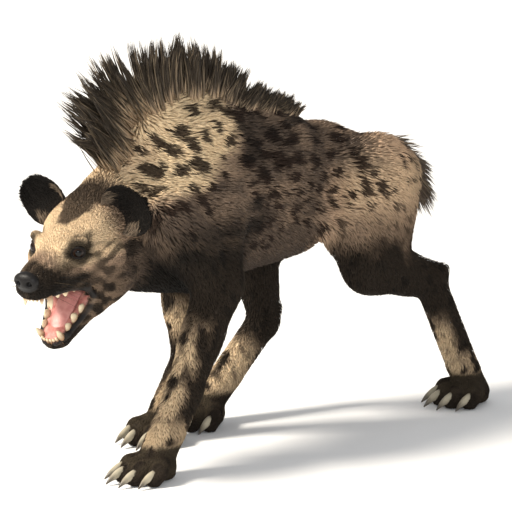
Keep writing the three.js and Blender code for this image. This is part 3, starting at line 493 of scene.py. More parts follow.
def make_mesh(name, points, faces, numbers=None, uv=None):
    """A mesh object from points in millimetres in the stride frame. Its faces all have as many corners."""
    points = points.copy()
    points[:, 2] = np.maximum(points[:, 2], 0.3)
    mesh = bpy.data.meshes.new(name)
    mesh.vertices.add(len(points))
    mesh.vertices.foreach_set("co", to_model(points).astype(np.float32).ravel())
    sides = faces.shape[1]
    mesh.loops.add(faces.size)
    mesh.loops.foreach_set("vertex_index", faces.astype(np.int32).ravel())
    mesh.polygons.add(len(faces))
    mesh.polygons.foreach_set("loop_start", np.arange(0, faces.size, sides, dtype=np.int32))
    mesh.update(calc_edges=True)
    mesh.polygons.foreach_set("use_smooth", np.ones(len(faces), bool))
    for key, values in (numbers or {}).items():
        mesh.attributes.new(key, "FLOAT", "POINT").data.foreach_set("value", values.astype(np.float32))
    if uv is not None:
        mesh.uv_layers.new(name="OFBake").data.foreach_set("uv", uv[faces.ravel()].astype(np.float32).ravel())
    thing = bpy.data.objects.new(name, mesh)
    bpy.context.scene.collection.objects.link(thing)
    return thing


# The skin, on a grid that is finest at the head and coarser along the body and legs
x_lines = axis((-232, -160, 7), (-160, 172, 4.5), (172, 240, 7))
y_lines = axis((-300, 60, 3.2), (60, 100, 5), (100, 1170, 7.6))
z_lines = axis((-14, 96, 4.4), (96, 370, 7.6), (370, 690, 3.9), (690, 880, 6))
skin_points, skin_quads = net(skin_at, (x_lines, y_lines, z_lines))
skin_points = settle(skin_at, skin_points, skin_quads)
skin_points[:, 2] = np.maximum(skin_points[:, 2], 0.6)
skin_normals = slope(skin_at, skin_points)


def lattice(i, j, k, seed):
    """A fixed chance number from 0 to 1 for each cell of a grid."""
    h = (i * 73856093) ^ (j * 19349663) ^ (k * 83492791) ^ (seed * 2654435761)
    h = (h ^ (h >> 13)) * 1274126177 & 0x7FFFFFFF
    return ((h ^ (h >> 15)) & 0xFFFF) / 65535


def noise(points, size, seed):
    """Smooth noise from 0 to 1 with features of about the given size, which may differ along x, y and z."""
    p = points / np.asarray(size, float)
    i = np.floor(p).astype(np.int64)
    t = p - i
    t = t * t * (3 - 2 * t)
    total = np.zeros(len(points))
    for a in (0, 1):
        for b in (0, 1):
            for c in (0, 1):
                w = np.where(a, t[:, 0], 1 - t[:, 0]) * np.where(b, t[:, 1], 1 - t[:, 1])
                w = w * np.where(c, t[:, 2], 1 - t[:, 2])
                total += w * lattice(i[:, 0] + a, i[:, 1] + b, i[:, 2] + c, seed)
    return total


def lie(points, normals, r):
    """The way the coat lies at each point, along the surface."""
    _, y, z = points.T
    way = np.tile(spot(0, 1, -0.34), (len(points), 1))
    way[:, 2] -= 0.5 * smooth(y, 260, 120) + 0.4 * smooth(z, 520, 440)
    way[:, 2] -= 0.5 * smooth(y, 760, 860)
    from_nose = unit(r["local"] - spot(0, -215, 16)) @ HEAD_TURN.T
    down, ahead, hang = spot(0, 0.28, -1), spot(0, -1, -0.5), spot(0, 0.7, -0.7)
    for region, own_way in (("leg", down), ("paw", ahead), ("tail", hang), ("head", from_nose)):
        share = r[region][:, None]
        way = way * (1 - share) + own_way * share
    way[:, 0] += 0.5 * (noise(points, 70, 3) - 0.5)
    way[:, 2] += 0.5 * (noise(points, 80, 4) - 0.5)
    return unit(way - (way * normals).sum(1, keepdims=True) * normals)


def split_faces(quads):
    return np.concatenate([quads[:, [0, 1, 2]], quads[:, [0, 2, 3]]])


skin_triangles = split_faces(skin_quads)
corner = skin_points[skin_triangles]
areas = np.linalg.norm(np.cross(corner[:, 1] - corner[:, 0], corner[:, 2] - corner[:, 0]), axis=1) / 2


def scatter(weights, count):
    """Evenly spread places on the skin: the triangle of each and its weights on the three corners."""
    reach = np.cumsum(areas * weights)
    steps = (np.arange(count) + rng.random(count)) * reach[-1] / count
    which = np.minimum(np.searchsorted(reach, steps), len(areas) - 1)
    a, b = rng.random(count), rng.random(count)
    flip = a + b > 1
    a[flip], b[flip] = 1 - a[flip], 1 - b[flip]
    return which, np.stack([1 - a - b, a, b], 1)


def carried(values, which, mix):
    """A value of the skin's corners, carried to places on its triangles."""
    picked = values[skin_triangles[which]]
    return (picked * (mix[..., None] if picked.ndim == 3 else mix)).sum(1)


# The dark spots: where each is, how large, and which way it is drawn out
skin_regions = regions(skin_points)
skin_lie = lie(skin_points, skin_normals, skin_regions)


def pale_edge(points):
    """How far above the lower edge of the pale shoulder and neck each point is."""
    return points[:, 2] - 598 - 0.34 * (points[:, 1] - 70)


def choose_spots():
    """Each spot's centre, radius, direction and length over width."""
    x, y, z = skin_points.T
    r = skin_regions
    crest = np.clip(smooth(np.abs(x), 22, 42) + smooth(z, 690, 640), 0, 1)
    free = (1 - r["head"]) * (1 - r["tail"]) * (1 - r["paw"])
    over = pale_edge(skin_points)
    likely = smooth(y, 30, 90) * smooth(y, 400, 340) * smooth(over, -50, 20) * crest
    flank = 0.6 * smooth(y, 330, 420) * smooth(z, 450, 560) * crest
    likely = likely + flank * (1 - 0.8 * smooth(y, 640, 740))
    likely = likely * (1 - r["leg"]) + 0.15 * r["leg"] * smooth(z, 120, 200)
    which, mix = scatter((likely * free)[skin_triangles].mean(1), 2400)
    centres, ways = carried(skin_points, which, mix), unit(carried(skin_lie, which, mix))
    normals = unit(carried(skin_normals, which, mix))
    on_leg = carried(r["leg"], which, mix)
    kept = []
    for i in rng.permutation(len(centres)):
        high = smooth(centres[i][2], 480, 700)
        radius = (6 + 6 * high + 11 * rng.random() ** 1.7) * (1 - 0.4 * on_leg[i])
        if all(np.linalg.norm(centres[i] - k[0]) > 1.42 * (radius + k[1]) for k in kept):
            side = np.cross(ways[i], normals[i])
            turn = rng.normal(0, 0.5)
            way = ways[i] * math.cos(turn) + side * math.sin(turn)
            kept.append((centres[i], radius, way, 1.1 + 1.5 * rng.random() ** 1.5))
    return kept


SPOTS = choose_spots()


def spottedness(points):
    """How deep in a spot each point is, from 0 to 1."""
    ragged = 1.1 * (noise(points, 17, 21) - 0.5) + 0.6 * (noise(points, 7, 22) - 0.5)
    found = np.zeros(len(points))
    for centre, radius, way, long in SPOTS:
        off = points - centre
        close = np.flatnonzero((np.abs(off) < radius * 3.2).all(1))
        if not len(close):
            continue
        o = off[close]
        along = o @ way
        across = np.sqrt(np.maximum((o * o).sum(1) - along ** 2, 0))
        far = np.sqrt((along / (radius * long)) ** 2 + (across / radius) ** 2) + ragged[close]
        found[close] = np.maximum(found[close], 1 - smooth(far, 0.72, 1.12))
    return found


def body_marks(points):
    """Brown, dark and cream on the trunk: pale shoulder and thigh, brown saddle, and dark below, which is
    partly the coat's own colour and partly painted shade on the underside.
    """
    _, y, z = points.T
    broad = noise(points, 95, 5)
    streaks = noise(points, (24, 70, 24), 9)
    over = pale_edge(points) + 70 * (noise(points, (50, 50, 34), 12) - 0.5)
    front = smooth(y, 372, 318)
    brown = 0.88 * front * smooth(over, 34, -34) + 0.9 * (1 - front) * smooth(y, 640, 560)
    brown = brown + 0.85 * smooth(y, 560, 600) * smooth(y, 800, 720) * smooth(z, 560, 630)
    brown = brown + 0.75 * smooth(z, 520, 430) * smooth(y, 620, 560) + 0.4 * smooth(y, 820, 890)
    brown = brown + (0.5 * (broad - 0.5) + 0.4 * (streaks - 0.5)) * (1 - 0.7 * front * smooth(over, -10, 30))
    # Dark low on the chest and along the underside: partly the coat's own colour, partly painted shade
    dark = 0.95 * smooth(z, 605, 470) * smooth(y, 420, 320) + 0.5 * smooth(z, 480, 390)
    band = 0.65 * smooth(y, 340, 366) * smooth(y, 430, 392)
    dark = dark + band * smooth(streaks, 0.42, 0.66) * smooth(z, 480, 540)
    dark = dark + 0.55 * smooth(z, 655, 715) * smooth(y, 400, 460) * smooth(streaks, 0.36, 0.6)
    dark = dark + 0.3 * smooth(over, 0, -130) * front * smooth(streaks, 0.3, 0.7)
    cream = front * smooth(over, -16, 36) * (0.6 + 0.4 * smooth(broad + 0.4 * streaks, 0.3, 0.75))
    cream = cream + 0.3 * smooth(y, 620, 700) * smooth(z, 440, 490) * smooth(z, 640, 570)
    return brown, dark, cream


def leg_marks(points, mottle):
    """Legs are blackish, with a pale stripe down the front and a pale cuff over the paw; only the upper thigh
    keeps a paler coat, and the dark on the lower thigh is partly painted shade.
    """
    _, y, z = points.T
    front = np.zeros(len(points))
    for limb, above in ((FORE, "elbow"), (HIND, "hock")):
        for name, side in SIDES.items():
            a, b = limb[name][above], limb[name]["ball"]
            t = np.clip(((points - a) @ (b - a)) / ((b - a) @ (b - a)), 0, 1)
            off = points - (a + t[:, None] * (b - a))
            near = smooth(np.linalg.norm(off, axis=1), 85, 62)
            ahead = smooth(-off[:, 1] - 0.3 * side * off[:, 0], -10, 18)
            cuff = 0.75 * smooth(z, 150, 118)
            stripe = np.maximum(ahead, cuff) * smooth(t, 0.12, 0.4)
            front = np.maximum(front, near * stripe)
    mottled = smooth(mottle, 0.78, 0.5)
    # The upper thigh stays pale; below it the lower thigh turns dark, partly painted shade
    thigh = smooth(y, 560, 620) * smooth(z + 90 * (noise(points, (34, 34, 50), 13) - 0.5), 385, 500)
    dark = (0.97 - 0.95 * front * mottled) * (1 - thigh) + 0.12 * thigh
    return np.full(len(points), 0.5), dark, 0.62 * front * mottled


def head_marks(h):
    """The head: cream brow and bridge, dark crown, eye patches, muzzle, jaw and streaked cheeks."""
    hx, hy, hz = np.abs(h[:, 0]), h[:, 1], h[:, 2]
    stripe = noise(h, (7, 50, 9), 8)
    rough = 14 * (noise(h, (9, 26, 9), 10) - 0.5)
    wide = np.interp(hy, [-66, -44, -8, 40, 90], [4, 13, 30, 42, 52])
    crown = smooth(hx + rough, wide + 5, wide - 5) * smooth(hz, 56, 72) * smooth(hy, -66, -54)
    cream = 0.64 * smooth(hz, 14, 30) * smooth(hy, -150, -112) * smooth(hy, 26, -14)
    cream = cream * (1 - 0.9 * crown)
    back = smooth(hy, -34, 24)
    brown = 0.6 * smooth(hz, 34, 0) + 0.5 * back + 0.35 * smooth(hy, -100, -140) + 0.5 * (stripe - 0.5)
    dark = 0.86 * crown
    to_eye = (np.stack([hx, hy, hz], 1) - EYE) / (1.0, 1.25, 0.86)
    patch = smooth(np.linalg.norm(to_eye, axis=1) + 0.35 * rough, 35, 22)
    tear = smooth(np.abs(hz - 26 - 0.2 * (hy + 100)), 13, 6) * smooth(hy, -138, -120) * smooth(hx, 16, 26)
    corner = smooth(np.abs(hz - 54 - 0.5 * (hy + 62)), 7, 3) * smooth(hy, -78, -66) * smooth(hy, -34, -46)
    dark = np.maximum(dark, 0.96 * patch)
    dark = np.maximum(dark, 0.75 * np.maximum(tear * smooth(hy, -84, -98), corner) * smooth(hx, 20, 30))
    muzzle = smooth(hy, -100, -142) * smooth(hz, 40, 24) * smooth(hx, 8, 18) + smooth(hy + rough, -148, -172)
    below = smooth(hz, 16, 0) * smooth(hy, -40, -90)
    dark = np.maximum(dark, 0.95 * np.clip(np.maximum(muzzle, below) * (0.75 + 0.5 * stripe), 0, 1))
    jaw = smooth(hz, 4, -30) * smooth(hy, 60, -30) * (0.5 + 0.5 * smooth(stripe, 0.35, 0.6))
    dark = np.maximum(dark, jaw * 0.92)
    cheek = smooth(stripe, 0.52, 0.72) * smooth(hx, 44, 56) * smooth(hz, 60, 30) * smooth(hy, -90, -60)
    dark = np.maximum(dark, 0.7 * cheek)
    return brown, dark, cream


def markings(points, r):
    """The coat's colours as masks: tan to grey brown, dark, cream and spots."""
    mottle = noise(points, (17, 17, 30), 6)
    fine = noise(points, 7, 7)
    groups = [body_marks(points), leg_marks(points, mottle), head_marks(r["local"])]
    shares = [(1 - r["leg"]) * (1 - r["head"]), r["leg"] * (1 - r["head"]), r["head"]]
    masks = []
    for k in range(3):
        masks.append(sum(share * np.clip(group[k], 0, 1) for share, group in zip(shares, groups)))
    brown, dark, cream = masks
    dark = np.maximum(dark, 0.95 * r["paw"] * smooth(points[:, 2] + 22 * (mottle - 0.5), 92, 70))
    tail = r["tail"]
    brown = brown * (1 - tail) + 0.75 * tail
    cream = cream * (1 - tail)
    spots = spottedness(points) * (1 - r["head"]) * (1 - 0.4 * r["leg"])
    return dict(brown=np.clip(brown + 0.25 * (fine - 0.5), 0, 1), dark=np.clip(dark, 0, 1),
                cream=np.clip(cream * (1 + 0.3 * (fine - 0.5)), 0, 1), spots=np.clip(spots, 0, 1))


inside, bare = [mask * skin_regions["face"] for mask in mouth_masks(skin_regions["local"])]
skin_marks = markings(skin_points, skin_regions)
skin_numbers = dict(skin_marks, mouth=inside, bare=bare)
skin = make_mesh("hyena_skin", skin_points, skin_quads, skin_numbers)


class Wire:
    """The output of a shader node, which can be used in sums."""

    def __init__(self, paint, socket):
        self.paint = paint
        self.socket = socket

    def __add__(self, other):
        return self.paint.sum("ADD", self, other)

    def __sub__(self, other):
        return self.paint.sum("SUBTRACT", self, other)

    def __rsub__(self, other):
        return self.paint.sum("SUBTRACT", other, self)

    def __mul__(self, other):
        return self.paint.sum("MULTIPLY", self, other)

    __radd__ = __add__
    __rmul__ = __mul__

    def step(self, low, high):
        """0 below low and 1 above high, smoothly."""
        settings = {"interpolation_type": "SMOOTHSTEP"}
        inputs = {"Value": self, "From Min": low, "From Max": high}
        return self.paint.node("ShaderNodeMapRange", settings, inputs)


class Paint:
    """A material that is being made."""

    def __init__(self, name, roughness=0.8, **constants):
        self.material = bpy.data.materials.new(name)
        self.material.use_nodes = True
        self.tree = self.material.node_tree
        self.shader = self.tree.nodes["Principled BSDF"]
        self.shader.inputs["Roughness"].default_value = roughness
        for key, value in constants.items():
            self.shader.inputs[key.replace("_", " ")].default_value = value

    def node(self, kind, settings, inputs, output=0):
        made = self.tree.nodes.new(kind)
        for key, value in settings.items():
            setattr(made, key, value)
        for key, value in inputs.items():
            self.feed(made.inputs[key], value)
        return Wire(self, made.outputs[output])

    def feed(self, socket, value):
        if isinstance(value, Wire):
            self.tree.links.new(value.socket, socket)
        elif isinstance(value, tuple) and len(value) == 3 and socket.type == "RGBA":
            socket.default_value = (*value, 1)
        else:
            socket.default_value = value

    def sum(self, operation, first, second):
        return self.node("ShaderNodeMath", {"operation": operation}, {0: first, 1: second})

    def number(self, name):
        return self.node("ShaderNodeAttribute", {"attribute_name": name}, {}, "Fac")

    def place(self):
        return self.node("ShaderNodeTexCoord", {}, {}, "Object")

    def noise(self, scale, detail=2.0):
        inputs = {"Vector": self.place(), "Scale": scale, "Detail": detail}
        return self.node("ShaderNodeTexNoise", {}, inputs, "Fac")

    def mix(self, mask, first, second):
        return self.node("ShaderNodeMix", {"data_type": "RGBA"}, {0: mask, 6: first, 7: second}, 2)

    def colour(self, value):
        self.feed(self.shader.inputs["Base Color"], value)

    def set(self, name, value):
        self.feed(self.shader.inputs[name], value)

    def bump(self, height, distance, strength=1.0):
        wire = self.node("ShaderNodeBump", {}, {"Height": height, "Distance": distance, "Strength": strength})
        self.feed(self.shader.inputs["Normal"], wire)


# Colours
TAN = (0.64, 0.44, 0.29)
BROWN = (0.12, 0.086, 0.064)
CREAM = (0.97, 0.74, 0.46)
DARK = (0.0065, 0.0056, 0.0045)
# SHADE is painted shade at the tufts' roots, and also the skin's uneven darker tone
SHADE = (0.06, 0.044, 0.033)
SPOT = (0.022, 0.0125, 0.0085)
PINK = (0.62, 0.30, 0.25)
RED_FLESH = (0.42, 0.14, 0.12)
NOSE_BLACK = (0.006, 0.005, 0.005)
PALE_HAIR = (0.24, 0.18, 0.115)
MANE_ROOT, MANE_MIDDLE, MANE_TIP = (0.50, 0.36, 0.23), (0.058, 0.043, 0.029), (0.016, 0.012, 0.009)
TAIL_ROOT, TAIL_MIDDLE, TAIL_TIP = (0.24, 0.175, 0.125), (0.15, 0.108, 0.08), (0.06, 0.045, 0.034)
EAR_ROOT, EAR_BLACK, EAR_PALE = (0.05, 0.037, 0.028), (0.0095, 0.008, 0.0068), (0.36, 0.27, 0.19)
EYE_DARK, IRIS, PUPIL = (0.022, 0.016, 0.013), (0.014, 0.0055, 0.0025), (0.0012, 0.0012, 0.0012)
LID_BLACK = (0.009, 0.007, 0.006)
TOOTH_STAIN, TOOTH_PALE = (0.27, 0.14, 0.065), (0.74, 0.61, 0.41)
TONGUE_PINK, TONGUE_RED = (0.66, 0.31, 0.27), (0.55, 0.22, 0.2)
HORN_PALE, HORN_TIP, HORN_ROOT = (0.42, 0.37, 0.27), (0.06, 0.047, 0.032), (0.10, 0.08, 0.06)


def coat_colour(paint, shade):
    """The markings that the skin and the tufts share, darkened by a mask where they are pale: painted shade
    towards the tufts' roots, and uneven tone.
    """
    base = paint.mix(paint.number("brown"), TAN, BROWN)
    base = paint.mix(paint.number("cream"), base, CREAM)
    base = paint.mix(shade, base, SHADE)
    base = paint.mix(paint.number("spots") * 0.94, base, SPOT)
    return paint.mix(paint.number("dark") * 0.97, base, DARK)


def paint_skin():
    paint = Paint("hyena_hide", 0.78, Specular_IOR_Level=0.22)
    fur = coat_colour(paint, paint.noise(150, 3).step(0.35, 0.7) * 0.2)
    flesh = paint.mix(paint.noise(60).step(0.3, 0.7), PINK, RED_FLESH)
    wet = paint.number("mouth")
    pad = paint.number("bare")
    fur = paint.mix(pad, fur, NOSE_BLACK)
    paint.colour(paint.mix(wet, fur, flesh))
    paint.set("Roughness", 0.8 - 0.45 * wet - 0.36 * pad)
    paint.bump((paint.noise(420, 2) + paint.noise(120, 2) * 1.5) * (1 - 0.6 * pad), 0.0012, 0.8)
    return paint.material


def paint_tuft():
    paint = Paint("hyena_coat", 0.82, Specular_IOR_Level=0.12)
    along, chance = paint.number("along"), paint.number("chance")
    # Near their roots the tufts are darkened with painted shade, as where tufts overlap; each also differs a
    # little in tone by chance
    paint.colour(coat_colour(paint, (1 - along) * 0.22 + chance * 0.12))
    return paint.material


def paint_bristle(name, root, middle, tip, low=0.12, high=0.5):
    """Hair that is one colour at its root, from low to high along it turns to another, and has dark tips."""
    paint = Paint(name, 0.62, Specular_IOR_Level=0.25)
    along, chance = paint.number("along"), paint.number("chance")
    colour = paint.mix((along + chance * 0.3).step(low, high), root, middle)
    colour = paint.mix((along + chance * 0.2).step(0.6, 1.1), colour, tip)
    paint.colour(paint.mix(chance.step(0.74, 0.92) * 0.6, colour, PALE_HAIR))
    return paint.material


coat_finish = paint_tuft()
skin.data.materials.append(paint_skin())
mane_finish = paint_bristle("mane_bristle", MANE_ROOT, MANE_MIDDLE, MANE_TIP, 0.24, 0.56)
tail_finish = paint_bristle("tail_bristle", TAIL_ROOT, TAIL_MIDDLE, TAIL_TIP)


def dress(thing, finish, slot, *nodes):
    """Gives a piece its finish and hides the solid nodes whose place it takes; its slot is not used."""
    thing.data.materials.append(finish)
    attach(thing, "root")
    if nodes:
        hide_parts(*nodes)


def unwrap(thing):
    """The unwrap of the skin's own shape that every tuft's place is read from."""
    bpy.context.view_layer.objects.active = thing
    thing.select_set(True)
    thing.data.uv_layers.new(name="OFBake")
    bpy.ops.object.mode_set(mode="EDIT")
    bpy.ops.mesh.select_all(action="SELECT")
    bpy.ops.uv.smart_project(angle_limit=math.radians(66), island_margin=0.001)
    bpy.ops.object.mode_set(mode="OBJECT")
    thing.select_set(False)
    flat = np.empty(len(thing.data.loops) * 2, np.float32)
    thing.data.uv_layers["OFBake"].data.foreach_get("uv", flat)
    return flat.reshape(-1, 4, 2)


quad_uv = unwrap(skin)
triangle_uv = np.concatenate([quad_uv[:, [0, 1, 2]], quad_uv[:, [0, 2, 3]]])


def blades(centres, across, up, wide, thick):
    """Closed blades of three-cornered rings that end in a point.

    centres is (blades, rings, 3), the last ring being the tip, and across and up are (blades, rings, 3)
    or (blades, 1, 3). wide and thick are (blades, rings - 1)."""
    count, rings, _ = centres.shape
    full = centres[:, :-1]
    side = across * np.ones_like(full) if across.shape[1] == 1 else across[:, :-1]
    over = up * np.ones_like(full) if up.shape[1] == 1 else up[:, :-1]
    left = full - side * wide[..., None] / 2
    right = full + side * wide[..., None] / 2
    crown = full + over * thick[..., None]
    ring_points = np.stack([left, right, crown], 2).reshape(count, -1, 3)
    points = np.concatenate([ring_points, centres[:, -1:]], 1)
    faces = [(0, 2, 1)]
    for r in range(rings - 2):
        for s in range(3):
            a, b = 3 * r + s, 3 * r + (s + 1) % 3
            faces += [(a, b, a + 3), (b, b + 3, a + 3)]
    last = 3 * (rings - 2)
    faces += [(last + s, last + (s + 1) % 3, last + 3) for s in range(3)]
    per = points.shape[1]
    all_faces = np.array(faces)[None] + per * np.arange(count)[:, None, None]
    steps = np.linspace(0, 1, rings)
    along = np.concatenate([np.repeat(steps[:-1], 3), [1.0]])
    return points, all_faces.reshape(-1, 3), along


def tuft_numbers(marks, along, per):
    numbers = {key: np.repeat(value, per) for key, value in marks.items()}
    numbers["along"] = np.tile(along, len(next(iter(marks.values()))))
    return numbers


def tuft_uv(places, along):
    """Each tuft's patch on the unwrap, about 0.003 across."""
    shape = np.stack([0.0013 * np.cos(np.arange(len(along)) * 2.1), 0.0013 * (2 * along - 1)], 1)
    return (places[:, None] + shape[None]).reshape(-1, 2)


def grow_coat():
    """The short coat of the whole body, as tufts in pieces."""
    r = skin_regions
    height = skin_points[:, 2]
    wanted = 1 + 0.6 * r["leg"] + 2.2 * r["paw"] + 1.6 * r["head"] + 3.2 * r["face"]
    no_hair = np.clip(inside * 1.5, 0, 1) + np.clip(bare * 1.3, 0, 1)
    eye_far = np.linalg.norm(np.stack([np.abs(r["local"][:, 0]), *r["local"][:, 1:].T], 1) - EYE, axis=1)
    wanted = wanted * np.clip(1 - no_hair, 0, 1) * smooth(eye_far, 12.5, 15.5) * smooth(height, 1.5, 5)
    count = COAT_TUFTS
    which, mix = scatter(wanted[skin_triangles].mean(1), count)
    root = carried(skin_points, which, mix)
    normal = unit(carried(skin_normals, which, mix))
    place = regions(root)
    depth = coat_depth(place)
    way = lie(root, normal, place)
    side = np.cross(way, normal)
    way = unit(way + side * rng.normal(0, 0.17, count)[:, None])
    size = 0.8 + 0.45 * rng.random(count)
    longer = 0.7 * smooth(root[:, 1], 760, 850) * smooth(root[:, 2], 520, 600)
    length = (depth * 2.5 + 1.5) * size * (1 + longer)
    wide = (1.5 + depth * 0.33) * (0.8 + 0.4 * rng.random(count)) * 1
    rise = depth * (0.72 + 0.28 * rng.random(count)) * (1 - 0.25 * place["paw"])
    middle = root + way * length[:, None] * 0.45 + normal * (rise * 0.7)[:, None]
    tip = root + way * length[:, None] + normal * rise[:, None]
    middle_up, tip_up = slope(skin_at, middle), slope(skin_at, tip)
    middle = middle + middle_up * np.clip(rise * 0.62 - skin_at(middle), -14, 14)[:, None]
    tip = tip + tip_up * np.clip(rise - skin_at(tip), -16, 16)[:, None]
    tip[:, 2] = np.maximum(tip[:, 2], 0.8)
    middle[:, 2] = np.maximum(middle[:, 2], 1.2)
    base = root - normal * 1.2
    centres = np.stack([base, middle, tip], 1)
    across = np.cross(way, normal)[:, None]
    widths = np.stack([wide, wide * 0.85], 1)
    thick = np.stack([wide * 0.25, wide * 0.3], 1)
    marks = markings(root, place)
    marks["chance"] = rng.random(count)
    uv = (triangle_uv[which] * mix[..., None]).sum(1)
    part = np.select([place["head"] > 0.5, root[:, 1] < 330, root[:, 1] < 620], [0, 1, 2], 3)
    part = part * 2 + (root[:, 0] < np.where(part == 0, 5 - 0.25 * (root[:, 1] + 33), 0))
    for number in range(8):
        chosen = np.flatnonzero(part == number)
        pieces = max(1, math.ceil(len(chosen) / TUFTS_IN_A_PIECE))
        for half, group in enumerate(np.array_split(chosen, pieces)):
            points, faces, along = blades(centres[group], across[group], normal[group][:, None],
                                          widths[group], thick[group])
            group_marks = {key: value[group] for key, value in marks.items()}
            numbers = tuft_numbers(group_marks, along, points.shape[1])
            patches = tuft_uv(uv[group], along)
            piece = make_mesh(f"coat_{number}_{half}", points.reshape(-1, 3), faces, numbers, patches)
            dress(piece, coat_finish, "coat")


grow_coat()

# The mane: stations along the crest, as in the solid model, with the lean forward in degrees and the length
MANE = np.array([
    (62, 56, 175), (85, 57, 256), (115, 53, 284), (150, 44, 264), (185, 32, 206), (225, 18, 180),
    (270, 4, 168), (325, -14, 148), (385, -32, 126), (445, -48, 104), (520, -62, 78), (600, -70, 60),
], float)


def crest_height(x, y):
    """The height of the coat's outer face over a place on the back."""
    high = np.full(len(x), 900.0)
    for step in (24.0, 6.0, 1.5):
        for _ in range(18):
            above = flesh_at(np.stack([x, y, high], 1)) > 0
            high = np.where(above, high - step, high)
        high = high + step
    return high - 1.5


def nearest_uv(points):
    """The unwrap's place of the corner nearest to each point, of every fifth corner on the upper body."""
    corner_uv = np.zeros((len(skin_points), 2))
    corner_uv[skin_quads.ravel()] = quad_uv.reshape(-1, 2)
    upper = np.flatnonzero(skin_points[:, 2] > 380)[::5]
    found = np.empty(len(points), int)
    for start in range(0, len(points), 500):
        chunk = points[start:start + 500]
        far = ((chunk[:, None] - skin_points[upper][None]) ** 2).sum(2)
        found[start:start + 500] = upper[far.argmin(1)]
    return corner_uv[found]


def grow_bristles(name, root, way, sag, length, wide, finish, slot="mane", rings=5):
    """Long hairs as bending blades, each from under the skin to its tip."""
    steps = np.linspace(0, 1, rings)
    centres = (root[:, None] + way[:, None] * (length[:, None] * (steps - 0.06))[..., None]
               + sag[:, None] * (length[:, None] * 0.24 * steps ** 2)[..., None])
    run = unit(centres[:, 1:] - centres[:, :-1])
    run = np.concatenate([run, run[:, -1:]], 1)
    aside = unit(rng.normal(0, 1, root.shape))[:, None]
    across = unit(np.cross(run, aside))
    up = np.cross(across, run)
    taper = np.array([1.0, 0.95, 0.78, 0.5, 0.3, 0.2])[:rings - 1]
    widths = wide[:, None] * taper
    points, faces, along = blades(centres, across, up, widths, widths * 0.4)
    numbers = tuft_numbers({"chance": rng.random(len(root))}, along, points.shape[1])
    piece = make_mesh(name, points.reshape(-1, 3), faces, numbers, tuft_uv(nearest_uv(root), along))
    dress(piece, finish, slot)


def grow_mane():
    """The raised mane, whose hairs gather in clumps that share one way."""
    count = MANE_HAIRS
    clumps = MANE_CLUMPS
    t = (np.arange(clumps) + rng.random(clumps)) / clumps
    grid = np.cumsum(np.hypot(np.diff(MANE[:, 0]), np.diff(crest_height(0 * MANE[:, 0], MANE[:, 0]))))
    grid = np.concatenate([[0], grid]) / grid[-1]
    place = np.interp(t, grid, np.arange(len(MANE)))
    y = np.interp(place, np.arange(len(MANE)), MANE[:, 0])
    lean = np.radians(np.interp(place, np.arange(len(MANE)), MANE[:, 1]) + rng.normal(0, 5, clumps))
    long = np.interp(place, np.arange(len(MANE)), MANE[:, 2])
    x = rng.uniform(-MANE_HALF_WIDTH, MANE_HALF_WIDTH, clumps)
    splay = x / MANE_HALF_WIDTH * 0.15 + rng.normal(0, 0.04, clumps)
    way = unit(np.stack([splay, -np.sin(lean), np.cos(lean)], 1))
    long = long * (1 - 0.16 * np.abs(x) / MANE_HALF_WIDTH) * rng.uniform(0.8, 1.1, clumps)
    root = np.stack([x, y, crest_height(x, y)], 1)
    own = rng.integers(0, clumps, count)
    off = rng.normal(0, 1, (count, 3)) * (7, 8, 0)
    start = root[own] + off
    start[:, 2] = crest_height(start[:, 0], start[:, 1]) - 12
    short = rng.random(count) < 0.3
    length = long[own] * np.where(short, rng.uniform(0.3, 0.75, count), rng.uniform(0.8, 1.02, count))
    goal = root[own] + way[own] * length[:, None] + off * 0.1 + rng.normal(0, 2.2, (count, 3))
    heading = unit(goal - start)
    sag = np.stack([0 * length, 0.7 * np.sign(lean[own]), -0.5 + 0 * length], 1)
    grow_bristles("mane", start, heading, sag, length + 12, rng.uniform(2.6, 5.2, count), mane_finish)


grow_mane()


def tail_place(t):
    """A point on the tail's core and its direction, for t from 0 to 1."""
    knots = np.array(TAIL)
    pieces = np.clip(t * 3, 0, 2.999)
    i = pieces.astype(int)
    f = (pieces - i)[:, None]
    return knots[i] * (1 - f) + knots[i + 1] * f, unit(knots[i + 1] - knots[i])


def grow_tail():
    """The bushy tail, whose hairs stand out from its core and droop."""
    count = TAIL_HAIRS
    t = 0.06 + 0.94 * rng.random(count) ** 0.8
    core, run = tail_place(t)
    turn = rng.uniform(0, 2 * math.pi, count)
    over = np.cross(run, spot(1, 0, 0))
    aside = np.stack([np.cos(turn), 0 * turn, 0 * turn], 1) + over * np.sin(turn)[:, None]
    thickness = np.interp(t, [0, 0.33, 0.66, 1], [30, 22, 18, 10])
    root = core + aside * (thickness * 0.7)[:, None]
    way = unit(run + aside * rng.uniform(0.1, 0.38, count)[:, None] + spot(0, 0.32, 0.12)
               + rng.normal(0, 0.07, (count, 3)))
    length = rng.uniform(58, 112, count)
    sag = np.tile(spot(0, 0, -1), (count, 1))
    grow_bristles("tail_tuft", root, way, sag, length, rng.uniform(2.4, 4.6, count), tail_finish)


grow_tail()


